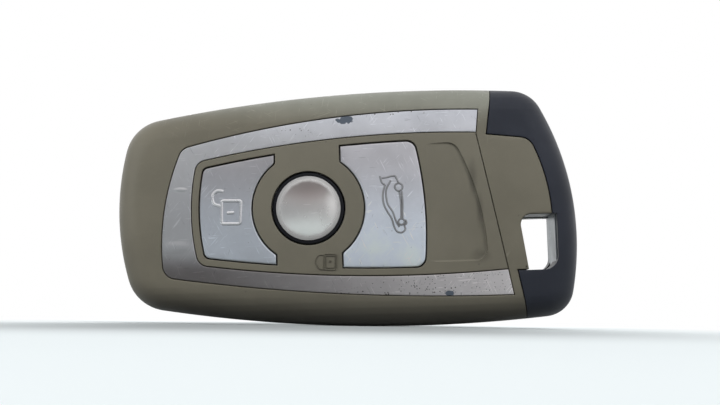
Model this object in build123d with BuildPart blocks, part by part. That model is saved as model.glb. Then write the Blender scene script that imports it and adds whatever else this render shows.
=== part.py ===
"""Car key fob with an emergency key, standing on its long edge with its buttons facing -Y.

Lengths are millimetres. The fob has its own axes: u along it, v across it, and depth towards the
front face. Its long axis is tilted by the small angle at which its curved edge comes to rest.
"""
import os
from math import cos, radians, sin, tan

from build123d import *

os.makedirs("parts", exist_ok=True)

# Body: overall form
body_length = 85.6
body_height = 44.4
body_depth = 13.6
axis_tilt = 2.6
edge_rounding = 4.6
front_crown_radius = 240.0
side_arc_radius = 275.0
side_crown_u = 13.4
left_end_radius = 48.7
right_end_radius = 53.5
right_end_drop = 6.2
left_corner_radius = 7.8
upper_right_corner_radius = 6.3
lower_right_corner_radius = 5.5

# Clearances and overrun
cut_overrun = 1.0
seam_gap = 0.12
running_gap = 0.15
flange_gap = 0.1

# Housing shells
wall = 2.0
front_wall = 2.4
back_wall = 1.8
cavity_bevel = 2.0
cavity_right_inset = 2.6
boss_radius = 1.6
boss_left_u_inset = 9.4
boss_left_v_inset = 9.0
boss_right_u_inset = 32.2
boss_right_v_inset = 4.6

# Bent seam at the right end of trim and panel
seam_u_inset = 16.0
seam_lean = 11.2
bend_v_inset = 9.25
arm_end_lean = 6.6

# Trim: a U of metal round the keypad
trim_top_v_inset = 4.5
trim_top_u = 16.6
trim_top_radius = 187.2
trim_bottom_v_inset = 5.2
trim_bottom_u = 27.7
trim_bottom_radius = 379.5
trim_left_u_inset = 8.5
trim_left_v = 7.1
trim_left_radius = 46.4
trim_corner_radius = 2.5
trim_thickness = 1.4

# Button panel inside the trim
panel_top_v_inset = 8.8
panel_top_u = 14.6
panel_top_radius = 209.6
panel_bottom_v_inset = 9.35
panel_bottom_u = 11.5
panel_bottom_radius = 258.2
panel_left_u_inset = 14.1
panel_left_v = 0.4
panel_left_radius = 40.3
panel_corner_radius = 2.2
panel_thickness = 1.4
panel_ledge = 0.6

# Thumb recess at the right of the panel
recess_depth = 0.75
recess_fade_u_inset = 28.2
recess_right_u_inset = 17.1
recess_right_v = 10.5
recess_right_radius = 47.4
recess_top_v_inset = 10.7
recess_bottom_v_inset = 11.5
recess_corner_radius = 2.4

# Buttons
lock_u = 7.18
lock_ring_radius = 6.65
lock_disc_radius = 5.95
lock_disc_edge = 0.35
lock_disc_rise = 0.5
lock_ring_drop = 0.3
lock_surround_radius = 10.45
lock_surround_half_width = 6.15
key_margin = 1.45
boot_right_u_inset = 28.4
boot_right_v = 3.5
boot_right_radius = 71.5
unlock_corner_radius = 1.2
boot_corner_radius = 1.9
key_gap = 0.2
key_edge_rounding = 0.2
flange_width = 0.5
flange_thickness = 0.6

# Keypad mat
mat_thickness = 0.6
mat_margin = 0.9
mat_rim_width = 0.9
mat_right_u_inset = 27.2
mat_pad_radius = 2.4
mat_pad_height = 0.5
mat_button_gap = 0.1

# Circuit board and what is on it
board_thickness = 1.0
board_back = 1.2
board_margin = 3.3
board_right_gap = 0.4
switch_width = 5.2
switch_height = 0.9
switch_corner = 0.5
plunger_radius = 1.2
plunger_fit = 0.05
plunger_length = 0.6
plunger_mat_gap = 0.05
unlock_switch_u_inset = 22.2
boot_switch_u_inset = 35.9
controller_width = 6.4
controller_height = 0.9
controller_u_inset = 23.2
controller_v = 1.5
radio_width = 4.2
radio_height = 0.8
radio_u_inset = 22.2
radio_v = 7.4
crystal_length = 4.8
crystal_width = 2.0
crystal_height = 1.2
crystal_u_inset = 23.6
crystal_v = 8.4
chip_chamfer = 0.15
coil_width = 10.6
coil_height = 3.4
coil_u_inset = 13.2
coil_flange = 0.7
coil_waist = 1.1
ferrite_length = 13.0
ferrite_radius = 1.5
winding_radius = 2.0
winding_length = 9.0
ferrite_u_inset = 27.3
ferrite_v_inset = 8.8

# Coin cell, 24.5 mm across and 5.0 mm thick
cell_radius = 12.25
cell_height = 5.0
cell_front = 0.1
cell_u = 8.0
cell_v = 5.4
cell_edge_rounding = 0.5
cell_groove_radius = 10.6
cell_groove_width = 0.5
cell_groove_depth = 0.3
contact_thickness = 0.2
contact_width = 4.0
contact_length = 15.0
contact_recess = 0.25
contact_tab_length = 1.6
side_contact_thickness = 0.3
side_contact_gap = 0.05
side_contact_drop = 4.2

# Carrier between the cell and the board
carrier_thickness = 1.0
carrier_margin = 2.3
well_fit = 0.2
well_wall = 0.9
carrier_right_gap = 0.3
window_fit = 0.3
rail_left_u = 14.0
rail_right_u_inset = 30.8
rail_width = 0.8
rail_height = 3.2
rail_gap = 0.2
leaf_block_left_u_inset = 42.2
leaf_block_length = 4.0
leaf_block_half_width = 1.2

# Battery cover at the back
cover_left = 13.3
cover_right = 13.6
cover_half_height = 13.0
cover_edge_margin = 2.7
cover_corner_radius = 2.4
cover_gap = 0.12
pry_width = 7.0
pry_reach = 1.3
pry_depth = 0.7
hook_width = 3.0
hook_spacing = 18.2
hook_root = 1.3
hook_reach = 1.2
hook_thickness = 0.9

# Release catch at the back
catch_u_inset = 25.6
catch_v = 3.0
catch_length = 8.4
catch_width = 5.8
catch_corner_radius = 1.4
catch_travel = 2.0
catch_flange_side = 1.2
catch_flange_below = 3.2
catch_flange_above = 2.4
catch_flange_thickness = 1.0
catch_groove_count = 4
catch_groove_pitch = 1.1
catch_groove_width = 0.5
catch_groove_depth = 0.35
catch_lug_u_inset = 22.6
catch_lug_length = 2.4
catch_lug_width = 0.8
catch_lug_depth = 2.1

# Latch leaf that holds the emergency key
leaf_thickness = 0.4
leaf_depth = 2.4
leaf_drop = 1.45
leaf_left_u_inset = 41.6
leaf_right_u_inset = 21.2
leaf_nose_u_inset = 25.8
leaf_nose_half = 1.7
leaf_nose_height = 1.9

# Bow of the emergency key: dark cap round the right end
cap_bend_u_inset = 16.53
cap_bend_v_inset = 9.3
cap_upper_lean = 8.6
cap_edge_fall = 0.95
cap_inner_u_inset = 40.2
cap_inner_v = 3.6
cap_inner_radius = 35.2
cap_inner_corner = 3.0
cap_eye_u_inset = 4.2
cap_eye_corner = 2.6
cap_lower_u_inset = 11.7
cap_lower_v_inset = 9.6
cap_lower_lean = 11.4
cap_gap = 0.15

# Ring eye through tongue and bow
eye_top_v = 2.35
eye_left_u_inset = 11.2
eye_left_lean = 8.4
eye_corner_radius = 1.3
eye_wall_u_inset = 4.4
eye_post_width = 1.5
eye_post_half_depth = 4.8
eye_post_reach = 0.9

# Metal core of the bow
core_front = 0.2
core_thickness = 3.4
core_wall = 2.2
core_web_margin = 0.4
core_web_left_inset = 15.2
core_slot_fit = 0.2
tang_left_u_inset = 29.8
tang_low_v_inset = 13.8
tang_width = 8.9
notch_depth = 0.85
notch_half_width = 0.9

# Blade of the emergency key
blade_width = 7.6
blade_thickness = 2.4
blade_tip_u_inset = 18.8
blade_root_u_inset = 22.8
blade_tip_length = 4.6
blade_tip_width = 3.0
blade_groove_width = 2.0
blade_groove_depth = 0.7
blade_groove_swing = 1.3
blade_groove_pitch = 10.5
blade_groove_waves = 3
pin_radius = 0.8
pin_u_inset = 26.2

# Places worked out from the insets above, measured from the ends and the long edges
half_length = body_length / 2
half_height = body_height / 2
boss_left_u = half_length - boss_left_u_inset
boss_right_u = half_length - boss_right_u_inset
seam_u = half_length - seam_u_inset
trim_left_u = half_length - trim_left_u_inset
panel_left_u = half_length - panel_left_u_inset
recess_fade_u = half_length - recess_fade_u_inset
recess_right_u = half_length - recess_right_u_inset
boot_right_u = half_length - boot_right_u_inset
mat_right_u = half_length - mat_right_u_inset
unlock_switch_u = half_length - unlock_switch_u_inset
boot_switch_u = half_length - boot_switch_u_inset
controller_u = half_length - controller_u_inset
radio_u = half_length - radio_u_inset
crystal_u = half_length - crystal_u_inset
coil_u = half_length - coil_u_inset
ferrite_u = half_length - ferrite_u_inset
rail_right_u = half_length - rail_right_u_inset
leaf_block_left_u = half_length - leaf_block_left_u_inset
catch_u = half_length - catch_u_inset
catch_lug_u = half_length - catch_lug_u_inset
leaf_left_u = half_length - leaf_left_u_inset
leaf_right_u = half_length - leaf_right_u_inset
leaf_nose_u = half_length - leaf_nose_u_inset
cap_bend_u = half_length - cap_bend_u_inset
cap_inner_u = half_length - cap_inner_u_inset
cap_eye_u = half_length - cap_eye_u_inset
cap_lower_u = half_length - cap_lower_u_inset
eye_left_u = half_length - eye_left_u_inset
eye_wall_u = half_length - eye_wall_u_inset
core_web_left = half_length - core_web_left_inset
tang_left_u = half_length - tang_left_u_inset
blade_tip_u = half_length - blade_tip_u_inset
blade_root_u = half_length - blade_root_u_inset
pin_u = half_length - pin_u_inset
boss_left_v = half_height - boss_left_v_inset
boss_right_v = half_height - boss_right_v_inset
bend_v = half_height - bend_v_inset
trim_top_v = half_height - trim_top_v_inset
trim_bottom_v = half_height - trim_bottom_v_inset
panel_top_v = half_height - panel_top_v_inset
panel_bottom_v = half_height - panel_bottom_v_inset
recess_top_v = half_height - recess_top_v_inset
recess_bottom_v = half_height - recess_bottom_v_inset
ferrite_v = half_height - ferrite_v_inset
cap_bend_v = half_height - cap_bend_v_inset
cap_lower_v = half_height - cap_lower_v_inset
tang_low_v = half_height - tang_low_v_inset

# Depths worked out from the sizes above, measured towards the front face
half_depth = body_depth / 2
span = body_length + body_height
face_depth = half_depth
back_depth = -half_depth
cut_top = face_depth + cut_overrun
cut_bottom = back_depth - cut_overrun
cavity_front = face_depth - front_wall
cavity_back = back_depth + back_wall
trim_floor = face_depth - trim_thickness
panel_floor = face_depth - panel_thickness
flange_top = panel_floor - flange_gap
flange_floor = flange_top - flange_thickness
mat_pad_top = flange_floor - mat_button_gap
mat_top = mat_pad_top - mat_pad_height
mat_floor = mat_top - mat_thickness
plunger_top = mat_floor - plunger_mat_gap
board_front = board_back + board_thickness
carrier_front = board_back
carrier_back = carrier_front - carrier_thickness
cell_back = cell_front - cell_height
cover_floor = cell_back - well_fit
core_back = -core_front - core_thickness
slot_back = core_back - core_slot_fit
blade_back = core_back + (core_thickness - blade_thickness) / 2
tang_v = tang_low_v + tang_width / 2
dome_top = face_depth + lock_disc_rise
ring_top = face_depth - lock_ring_drop
disc_seat = ring_top - flange_thickness
key_u = -lock_u
cover_right_u = cover_right - cell_u
cover_left_u = -cover_left - cell_u
well_radius = cell_radius + well_fit
leaf_low_v = tang_low_v - leaf_drop - leaf_thickness / 2


def fob_axis(angle):
    """Direction at an angle to the fob's long axis, in its front plane."""
    turned = radians(axis_tilt + angle)
    return Vector(cos(turned), 0, sin(turned))


along = fob_axis(0)
across = fob_axis(90)
frontward = Vector(0, -1, 0)


def draw_body_outline(inset=0):
    """Outline of the body: four arcs with rounded corners, drawn in by the inset."""
    with Locations((side_crown_u, half_height - side_arc_radius)):
        Circle(side_arc_radius - inset)
    with Locations((side_crown_u, side_arc_radius - half_height)):
        Circle(side_arc_radius - inset, mode=Mode.INTERSECT)
    with Locations((left_end_radius - half_length, 0)):
        Circle(left_end_radius - inset, mode=Mode.INTERSECT)
    with Locations((half_length - right_end_radius, -right_end_drop)):
        Circle(right_end_radius - inset, mode=Mode.INTERSECT)
    fillet(vertices().sort_by(Axis.X)[:2], left_corner_radius - inset)
    fillet(vertices().sort_by(Axis.X)[-1], lower_right_corner_radius - inset)
    fillet(vertices().sort_by(Axis.Y)[-1], upper_right_corner_radius - inset)


# The tilted outline is centred over the origin and stands on the ground
with BuildSketch(Plane((0, 0, 0), x_dir=along, z_dir=frontward)) as outline_trial:
    draw_body_outline()
reach = outline_trial.sketch.bounding_box()
fob_origin = Vector(-reach.center().X, lock_disc_rise / 2, -reach.min.Z)
fob_plane = Plane(fob_origin, x_dir=along, z_dir=frontward)
front_axis = Axis(fob_origin, frontward)


def at_depth(depth):
    """Sketch plane parallel to the front face."""
    return fob_plane.offset(depth)


def fob_point(u, v, depth):
    """Place given along the fob, across it and towards its front face."""
    return fob_origin + along * u + across * v + frontward * depth


def slab(draw, low, high, mode=Mode.ADD):
    """Extrude a drawn region between two depths."""
    with BuildSketch(at_depth(low)) as region:
        draw()
    extrude(region.sketch, amount=high - low, mode=mode)


def draw_right_field(inset=0):
    """Everything to the right of the bent seam that ends trim and panel."""
    bend = Vector(seam_u - bend_v * tan(radians(seam_lean)) - inset, bend_v)
    rise = Vector(sin(radians(arm_end_lean)), cos(radians(arm_end_lean))) * span
    fall = Vector(sin(radians(seam_lean)), -cos(radians(seam_lean))) * span
    with BuildLine() as field:
        Polyline(bend + fall, bend, bend + rise, (span, span), (span, -span), close=True)
    make_face(field.edges(), mode=Mode.SUBTRACT)


def draw_lens(top, bottom, left, inset):
    """Region inside three arcs, each given as radius, crown u and crown v."""
    with Locations((top[1], top[2] - top[0])):
        Circle(top[0] - inset)
    with Locations((bottom[1], bottom[0] - bottom[2])):
        Circle(bottom[0] - inset, mode=Mode.INTERSECT)
    with Locations((left[0] - left[1], -left[2])):
        Circle(left[0] - inset, mode=Mode.INTERSECT)


def draw_trim_field(inset=0):
    """Trim and panel together."""
    draw_lens(
        (trim_top_radius, trim_top_u, trim_top_v),
        (trim_bottom_radius, trim_bottom_u, trim_bottom_v),
        (trim_left_radius, trim_left_u, trim_left_v),
        inset,
    )
    fillet(vertices().sort_by(Axis.X)[:2], trim_corner_radius - inset)
    draw_right_field(inset)


def draw_panel(inset=0):
    """Panel inside the trim."""
    draw_lens(
        (panel_top_radius, panel_top_u, panel_top_v),
        (panel_bottom_radius, panel_bottom_u, panel_bottom_v),
        (panel_left_radius, panel_left_u, panel_left_v),
        inset,
    )
    fillet(vertices().sort_by(Axis.X)[:2], panel_corner_radius - min(inset, panel_ledge))
    draw_right_field(inset)


def keep_side(u, align):
    """Keep what lies on one side of a line across the fob."""
    with Locations((u, 0)):
        Rectangle(span, span, align=(align, Align.CENTER), mode=Mode.INTERSECT)


def draw_surround(growth):
    """Round space kept free about the lock button."""
    with Locations((key_u, 0)):
        Circle(lock_surround_radius - growth, mode=Mode.SUBTRACT)


def draw_unlock_button(growth=0):
    """Left button: panel shape drawn in, cut by the round surround."""
    draw_lens(
        (panel_top_radius, panel_top_u, panel_top_v),
        (panel_bottom_radius, panel_bottom_u, panel_bottom_v),
        (panel_left_radius, panel_left_u, panel_left_v),
        key_margin - growth,
    )
    keep_side(key_u - lock_surround_half_width + growth, Align.MAX)
    fillet(vertices().sort_by(Axis.X)[:2], unlock_corner_radius)
    draw_surround(growth)


def draw_boot_button(growth=0):
    """Middle button: panel shape drawn in, with its own right-hand arc."""
    draw_lens(
        (panel_top_radius, panel_top_u, panel_top_v),
        (panel_bottom_radius, panel_bottom_u, panel_bottom_v),
        (panel_left_radius, panel_left_u, panel_left_v),
        key_margin - growth,
    )
    with Locations((boot_right_u - boot_right_radius, -boot_right_v)):
        Circle(boot_right_radius + growth, mode=Mode.INTERSECT)
    keep_side(key_u + lock_surround_half_width - growth, Align.MIN)
    fillet(vertices().sort_by(Axis.X)[-2:], boot_corner_radius)
    draw_surround(growth)


def draw_circle(u, v, radius):
    """Circle about a place on the fob."""
    with Locations((u, v)):
        Circle(radius)


def draw_box(u, v, length, width, corner=0):
    """Rectangle about a place on the fob, with round corners where asked."""
    with Locations((u, v)):
        Rectangle(length, width)
    if corner:
        fillet(vertices(), corner)


def draw_cap_field(growth=0):
    """Region of the bow cap: all that lies outside its inner edge."""
    bend = Vector(cap_bend_u, cap_bend_v)
    upper = bend + Vector(sin(radians(cap_upper_lean)), cos(radians(cap_upper_lean))) * span
    corner_v = cap_bend_v - cap_edge_fall
    half_chord = corner_v + cap_inner_v
    corner = Vector(cap_inner_u + (cap_inner_radius**2 - half_chord**2) ** 0.5, corner_v)
    arc_end_v = -eye_top_v
    half_end = arc_end_v + cap_inner_v
    arc_end = Vector(cap_inner_u + (cap_inner_radius**2 - half_end**2) ** 0.5, arc_end_v)
    low = Vector(cap_lower_u, -cap_lower_v)
    lower = low + Vector(sin(radians(cap_lower_lean)), -cos(radians(cap_lower_lean))) * span
    with BuildLine() as field:
        Line(upper, bend)
        Line(bend, corner)
        RadiusArc(corner, arc_end, cap_inner_radius)
        Polyline(arc_end, (cap_eye_u, arc_end_v), (cap_eye_u, -cap_lower_v), low, lower)
        Polyline(lower, (span, -span), (span, span), upper)
    make_face(field.edges())
    fillet(vertices().sort_by_distance(corner)[0], cap_inner_corner)
    fillet(vertices().sort_by_distance((cap_eye_u, -cap_lower_v))[0], cap_eye_corner)
    if growth:
        offset(amount=growth, kind=Kind.INTERSECTION)


def draw_eye_notch(growth=0):
    """Notch of the ring eye in the tongues, open towards the cap."""
    lean = tan(radians(eye_left_lean))
    top = -eye_top_v + growth
    bottom = -cap_lower_v - cap_gap
    height = top - bottom
    left = eye_left_u - growth
    with BuildLine() as notch:
        Polyline(
            (left, top), (half_length, top), (half_length, bottom), (left + height * lean, bottom),
            close=True,
        )
    make_face(notch.edges())
    fillet(vertices().sort_by(Axis.X)[0], eye_corner_radius)


# Whole form of the closed fob, from which every outer piece is cut
with BuildPart() as fob_form:
    with BuildSketch(at_depth(back_depth)):
        draw_body_outline()
    extrude(amount=body_depth)
    crown_plane = Plane(fob_origin, x_dir=across, z_dir=along)
    with BuildSketch(crown_plane):
        with Locations((0, half_depth - front_crown_radius)):
            Circle(front_crown_radius)
    extrude(amount=span, both=True, mode=Mode.INTERSECT)
    rim = faces().sort_by(front_axis)[-1].edges() + faces().sort_by(front_axis)[0].edges()
    fillet(rim, edge_rounding)

# Hollow inside the two shells, bevelled along its front and back rim
with BuildPart() as cavity:
    with BuildSketch(at_depth(cavity_back)):
        draw_body_outline(wall)
        draw_right_field(cavity_right_inset)
    extrude(amount=cavity_front - cavity_back)
    rim = faces().sort_by(front_axis)[-1].edges() + faces().sort_by(front_axis)[0].edges()
    chamfer(rim, cavity_bevel)


def draw_recess():
    """Thumb recess beside the boot button."""
    middle = (recess_top_v - recess_bottom_v) / 2
    with Locations((recess_fade_u, middle)):
        Rectangle(span, recess_top_v + recess_bottom_v, align=(Align.MIN, Align.CENTER))
    with Locations((recess_right_u - recess_right_radius, -recess_right_v)):
        Circle(recess_right_radius, mode=Mode.INTERSECT)
    fillet(vertices().sort_by(Axis.X)[-2:], recess_corner_radius)


def draw_cover(growth=0):
    """Battery cover: a rounded rectangle drawn in from the edge of the body."""
    draw_body_outline(cover_edge_margin - growth)
    with Locations((cover_right_u + growth, -cell_v)):
        Rectangle(
            cover_left + cover_right + 2 * growth,
            2 * (cover_half_height + growth),
            align=(Align.MAX, Align.CENTER),
            mode=Mode.INTERSECT,
        )
    fillet(vertices(), cover_corner_radius)


def draw_core(growth=0):
    """Plate of the bow core: web between the tongues, arms of the bow and the tang."""
    draw_body_outline(core_wall - growth)
    with Locations((core_web_left - growth, 0)):
        Rectangle(span, span, align=(Align.MIN, Align.CENTER), mode=Mode.INTERSECT)
    with Locations((cap_lower_u + core_wall, -cap_lower_v + core_web_margin - growth)):
        Rectangle(span, span, align=(Align.MAX, Align.MAX), mode=Mode.SUBTRACT)
    with Locations((tang_left_u - growth, tang_v)):
        Rectangle(
            core_web_left - tang_left_u + core_wall + growth,
            tang_width + 2 * growth,
            align=(Align.MIN, Align.CENTER),
        )


def draw_eye():
    """Hole of the ring eye in the bow core."""
    draw_eye_notch(core_slot_fit)
    keep_side(eye_wall_u, Align.MAX)


def draw_eye_post():
    """Metal wall at the outer side of the ring eye."""
    top = -eye_top_v + eye_post_reach
    bottom = -cap_lower_v - eye_post_reach
    with Locations((eye_wall_u, (top + bottom) / 2)):
        Rectangle(eye_post_width, top - bottom, align=(Align.MIN, Align.CENTER))


def draw_latch_notch():
    """V notch in the tang's lower edge, in which the leaf's nose sits."""
    mouth = tang_low_v - running_gap
    with BuildLine() as notch:
        Polyline(
            (leaf_nose_u - notch_half_width, mouth),
            (leaf_nose_u, tang_low_v + notch_depth),
            (leaf_nose_u + notch_half_width, mouth),
            close=True,
        )
    make_face(notch.edges())


def draw_leaf():
    """Latch leaf: a flat strip with a raised V nose."""
    low = leaf_low_v
    high = leaf_low_v + leaf_thickness
    left_foot = leaf_nose_u - leaf_nose_half
    right_foot = leaf_nose_u + leaf_nose_half
    with BuildLine() as strip:
        Polyline(
            (leaf_left_u, low), (left_foot, low), (leaf_nose_u, low + leaf_nose_height),
            (right_foot, low), (leaf_right_u, low), (leaf_right_u, high), (right_foot, high),
            (leaf_nose_u, high + leaf_nose_height), (left_foot, high), (leaf_left_u, high),
            close=True,
        )
    make_face(strip.edges())


def draw_blade():
    """Blade seen from the front, with a tapered tip."""
    half = blade_width / 2
    shoulder = blade_tip_length - blade_tip_u
    with BuildLine() as edge:
        Polyline(
            (-blade_tip_u, tang_v - blade_tip_width / 2), (shoulder, tang_v - half),
            (blade_root_u, tang_v - half), (blade_root_u, tang_v + half),
            (shoulder, tang_v + half), (-blade_tip_u, tang_v + blade_tip_width / 2),
            close=True,
        )
    make_face(edge.edges())


def draw_blade_groove():
    """Winding track milled along the blade."""
    start = -blade_tip_u
    with BuildLine() as track:
        for wave in range(blade_groove_waves):
            left = start + wave * blade_groove_pitch
            middle = left + blade_groove_pitch / 2
            right = left + blade_groove_pitch
            SagittaArc((left, tang_v), (middle, tang_v), blade_groove_swing)
            SagittaArc((middle, tang_v), (right, tang_v), -blade_groove_swing)
    trace(track.line, line_width=blade_groove_width)


def draw_catch_box(below, above, side):
    """Rectangle about the catch, wider than its pad by the given amounts."""
    width = catch_width + below + above
    draw_box(catch_u, catch_v + (above - below) / 2, catch_length + 2 * side, width)


# Front shell with the pocket for trim and panel and the tongue over the bow
with BuildPart() as front_case:
    add(fob_form.part)
    slab(lambda: Rectangle(span, span), cut_bottom, 0, Mode.SUBTRACT)
    add(cavity.part, mode=Mode.SUBTRACT)
    slab(lambda: draw_cap_field(cap_gap), -cut_overrun, cut_top, Mode.SUBTRACT)
    slab(draw_eye_notch, -cut_overrun, cut_top, Mode.SUBTRACT)
    slab(lambda: draw_trim_field(-seam_gap), trim_floor, cut_top, Mode.SUBTRACT)
    slab(lambda: draw_panel(panel_ledge), cavity_front - cut_overrun, cut_top, Mode.SUBTRACT)
front_case.part.label = "front_case"

# Rear shell: battery opening, catch slot, channel for tang and web, three bosses
with BuildPart() as rear_case:
    add(fob_form.part)
    slab(lambda: Rectangle(span, span), 0, cut_top, Mode.SUBTRACT)
    add(cavity.part, mode=Mode.SUBTRACT)
    well_clearance = well_radius + well_wall + flange_gap
    slab(lambda: draw_circle(-cell_u, -cell_v, well_clearance), cover_floor, 0, Mode.SUBTRACT)
    slab(lambda: draw_core(core_slot_fit), slot_back, 0, Mode.SUBTRACT)
    slab(
        lambda: draw_catch_box(
            catch_flange_below + catch_travel + running_gap,
            catch_flange_above + running_gap,
            catch_flange_side + running_gap,
        ),
        cavity_back, 0, Mode.SUBTRACT,
    )
    slab(
        lambda: draw_catch_box(catch_travel + running_gap, running_gap, running_gap),
        cut_bottom, 0, Mode.SUBTRACT,
    )
    with BuildSketch(at_depth(cavity_back)) as bosses:
        with Locations(
            (-boss_left_u, boss_left_v), (-boss_left_u, -boss_left_v), (boss_right_u, -boss_right_v)
        ):
            Circle(boss_radius)
    extrude(bosses.sketch, amount=carrier_back - cavity_back)
    slab(lambda: draw_cover(cover_gap), cut_bottom, cavity_back, Mode.SUBTRACT)
    slab(lambda: draw_cap_field(cap_gap), cut_bottom, cut_top, Mode.SUBTRACT)
    slab(draw_eye_notch, cut_bottom, cut_top, Mode.SUBTRACT)
rear_case.part.label = "rear_case"

# Trim: the U between case and panel
with BuildPart() as trim:
    slab(draw_trim_field, trim_floor, cut_top)
    slab(lambda: draw_panel(-seam_gap), trim_floor, cut_top, Mode.SUBTRACT)
    add(fob_form.part, mode=Mode.INTERSECT)
trim.part.label = "trim"

# Panel with openings for the three buttons and the thumb recess with its sloping floor
slope = Vector(along * (recess_right_u - recess_fade_u) - frontward * recess_depth).normalized()
recess_plane = Plane(
    fob_point(0, 0, face_depth + recess_depth * recess_fade_u / (recess_right_u - recess_fade_u)),
    x_dir=slope,
    z_dir=slope.cross(across),
)
with BuildPart() as button_panel:
    slab(draw_panel, panel_floor, cut_top)
    add(fob_form.part, mode=Mode.INTERSECT)
    slab(lambda: draw_unlock_button(key_gap), panel_floor, cut_top, Mode.SUBTRACT)
    slab(lambda: draw_boot_button(key_gap), panel_floor, cut_top, Mode.SUBTRACT)
    slab(lambda: draw_circle(key_u, 0, lock_ring_radius + key_gap), panel_floor, cut_top, Mode.SUBTRACT)
    with BuildSketch(recess_plane) as recess:
        draw_recess()
    extrude(recess.sketch, amount=panel_thickness, mode=Mode.SUBTRACT)
button_panel.part.label = "button_panel"


def make_button(draw, name):
    """A button cut from the fob's form, with a flange under the panel."""
    with BuildPart() as button:
        slab(draw, flange_floor, cut_top)
        add(fob_form.part, mode=Mode.INTERSECT)
        fillet(faces().sort_by(front_axis)[-1].edges(), key_edge_rounding)
        slab(lambda: draw(flange_width), flange_floor, flange_top)
    button.part.label = name
    return button.part


unlock_button = make_button(draw_unlock_button, "unlock_button")
boot_button = make_button(draw_boot_button, "boot_button")

# Lock button: black ring with a flange, and a domed metal disc let into it
with BuildPart() as lock_button:
    slab(lambda: draw_circle(key_u, 0, lock_ring_radius), flange_floor, ring_top)
    fillet(faces().sort_by(front_axis)[-1].edges(), key_edge_rounding)
    slab(lambda: draw_circle(key_u, 0, lock_ring_radius + flange_width), flange_floor, flange_top)
    slab(lambda: draw_circle(key_u, 0, lock_disc_radius), disc_seat, ring_top, Mode.SUBTRACT)
lock_button.part.label = "lock_button"

disc_plane = Plane(fob_point(key_u, 0, 0), x_dir=along, z_dir=-across)
with BuildPart() as lock_disc:
    with BuildSketch(disc_plane):
        with BuildLine():
            dome = TangentArc((0, dome_top), (lock_disc_radius, ring_top + lock_disc_edge), tangent=(1, 0))
            Polyline(dome @ 1, (lock_disc_radius, disc_seat), (0, disc_seat), (0, dome_top))
        make_face()
    revolve(axis=Axis(fob_point(key_u, 0, 0), frontward))
lock_disc.part.label = "lock_disc"

# Silicone mat: a sheet on a rim, with a pad under each button
with BuildPart() as keypad_mat:
    with BuildSketch(at_depth(board_front)) as mat:
        draw_panel(mat_margin)
        keep_side(mat_right_u, Align.MAX)
    extrude(mat.sketch, amount=mat_top - board_front)
    with BuildSketch(at_depth(board_front)) as mat_hollow:
        draw_panel(mat_margin + mat_rim_width)
        keep_side(mat_right_u - mat_rim_width, Align.MAX)
    extrude(mat_hollow.sketch, amount=mat_floor - board_front, mode=Mode.SUBTRACT)
    with BuildSketch(at_depth(mat_top)) as pads:
        with Locations((-unlock_switch_u, 0), (key_u, 0), (boot_switch_u, 0)):
            Circle(mat_pad_radius)
    extrude(pads.sketch, amount=mat_pad_height)
keypad_mat.part.label = "keypad_mat"


def draw_board():
    """Outline of the circuit board."""
    draw_body_outline(board_margin)
    draw_right_field(cavity_right_inset + board_right_gap)


with BuildPart() as circuit_board:
    slab(draw_board, board_back, board_front)
circuit_board.part.label = "circuit_board"


def make_switch(u, name):
    """Tactile switch housing with a hole for its plunger."""
    with BuildPart() as switch:
        slab(
            lambda: draw_box(u, 0, switch_width, switch_width, switch_corner),
            board_front, board_front + switch_height,
        )
        slab(
            lambda: draw_circle(u, 0, plunger_radius + plunger_fit),
            board_front, board_front + switch_height, Mode.SUBTRACT,
        )
    switch.part.label = name + "_switch"
    return switch.part


def make_plunger(u, name):
    """Plunger of a tactile switch, pressed through the mat by the button above it."""
    with BuildPart() as plunger:
        slab(lambda: draw_circle(u, 0, plunger_radius), plunger_top - plunger_length, plunger_top)
        chamfer(faces().sort_by(front_axis)[-1].edges(), chip_chamfer)
    plunger.part.label = name + "_plunger"
    return plunger.part


switch_places = {"unlock": -unlock_switch_u, "lock": key_u, "boot": boot_switch_u}
switches = [make_switch(u, name) for name, u in switch_places.items()]
plungers = [make_plunger(u, name) for name, u in switch_places.items()]


def make_chip(name, u, v, height, length, width):
    """Chip on the board, with a chamfered top."""
    with BuildPart() as chip:
        slab(lambda: draw_box(u, v, length, width), board_front, board_front + height)
        chamfer(faces().sort_by(front_axis)[-1].edges(), chip_chamfer)
    chip.part.label = name
    return chip.part


chips = [
    make_chip(
        "controller_chip", controller_u, controller_v, controller_height, controller_width, controller_width
    ),
    make_chip("radio_chip", radio_u, -radio_v, radio_height, radio_width, radio_width),
    make_chip("crystal", crystal_u, crystal_v, crystal_height, crystal_length, crystal_width),
]

# Three-axis antenna coil behind the board, wound on a flanged square core
coil_back = board_back - coil_height
with BuildPart() as antenna_coil:
    slab(lambda: draw_box(-coil_u, 0, coil_width, coil_width, coil_waist), coil_back, board_back)
    slab(
        lambda: draw_box(-coil_u, 0, coil_width, coil_width),
        coil_back + coil_flange, board_back - coil_flange, Mode.SUBTRACT,
    )
    waist_width = coil_width - 2 * coil_waist
    slab(
        lambda: draw_box(-coil_u, 0, waist_width, waist_width, coil_waist),
        coil_back + coil_flange, board_back - coil_flange,
    )
antenna_coil.part.label = "antenna_coil"

# Immobiliser coil: a winding on a ferrite rod
rod_depth = board_back - winding_radius
rod_plane = Plane(fob_point(ferrite_u, -ferrite_v, rod_depth), x_dir=across, z_dir=along)
with BuildPart() as ferrite_rod:
    with BuildSketch(rod_plane):
        Circle(ferrite_radius)
    extrude(amount=ferrite_length / 2, both=True)
ferrite_rod.part.label = "ferrite_rod"

with BuildPart() as immobiliser_winding:
    with BuildSketch(rod_plane):
        Circle(winding_radius)
        Circle(ferrite_radius, mode=Mode.SUBTRACT)
    extrude(amount=winding_length / 2, both=True)
immobiliser_winding.part.label = "immobiliser_winding"

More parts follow.
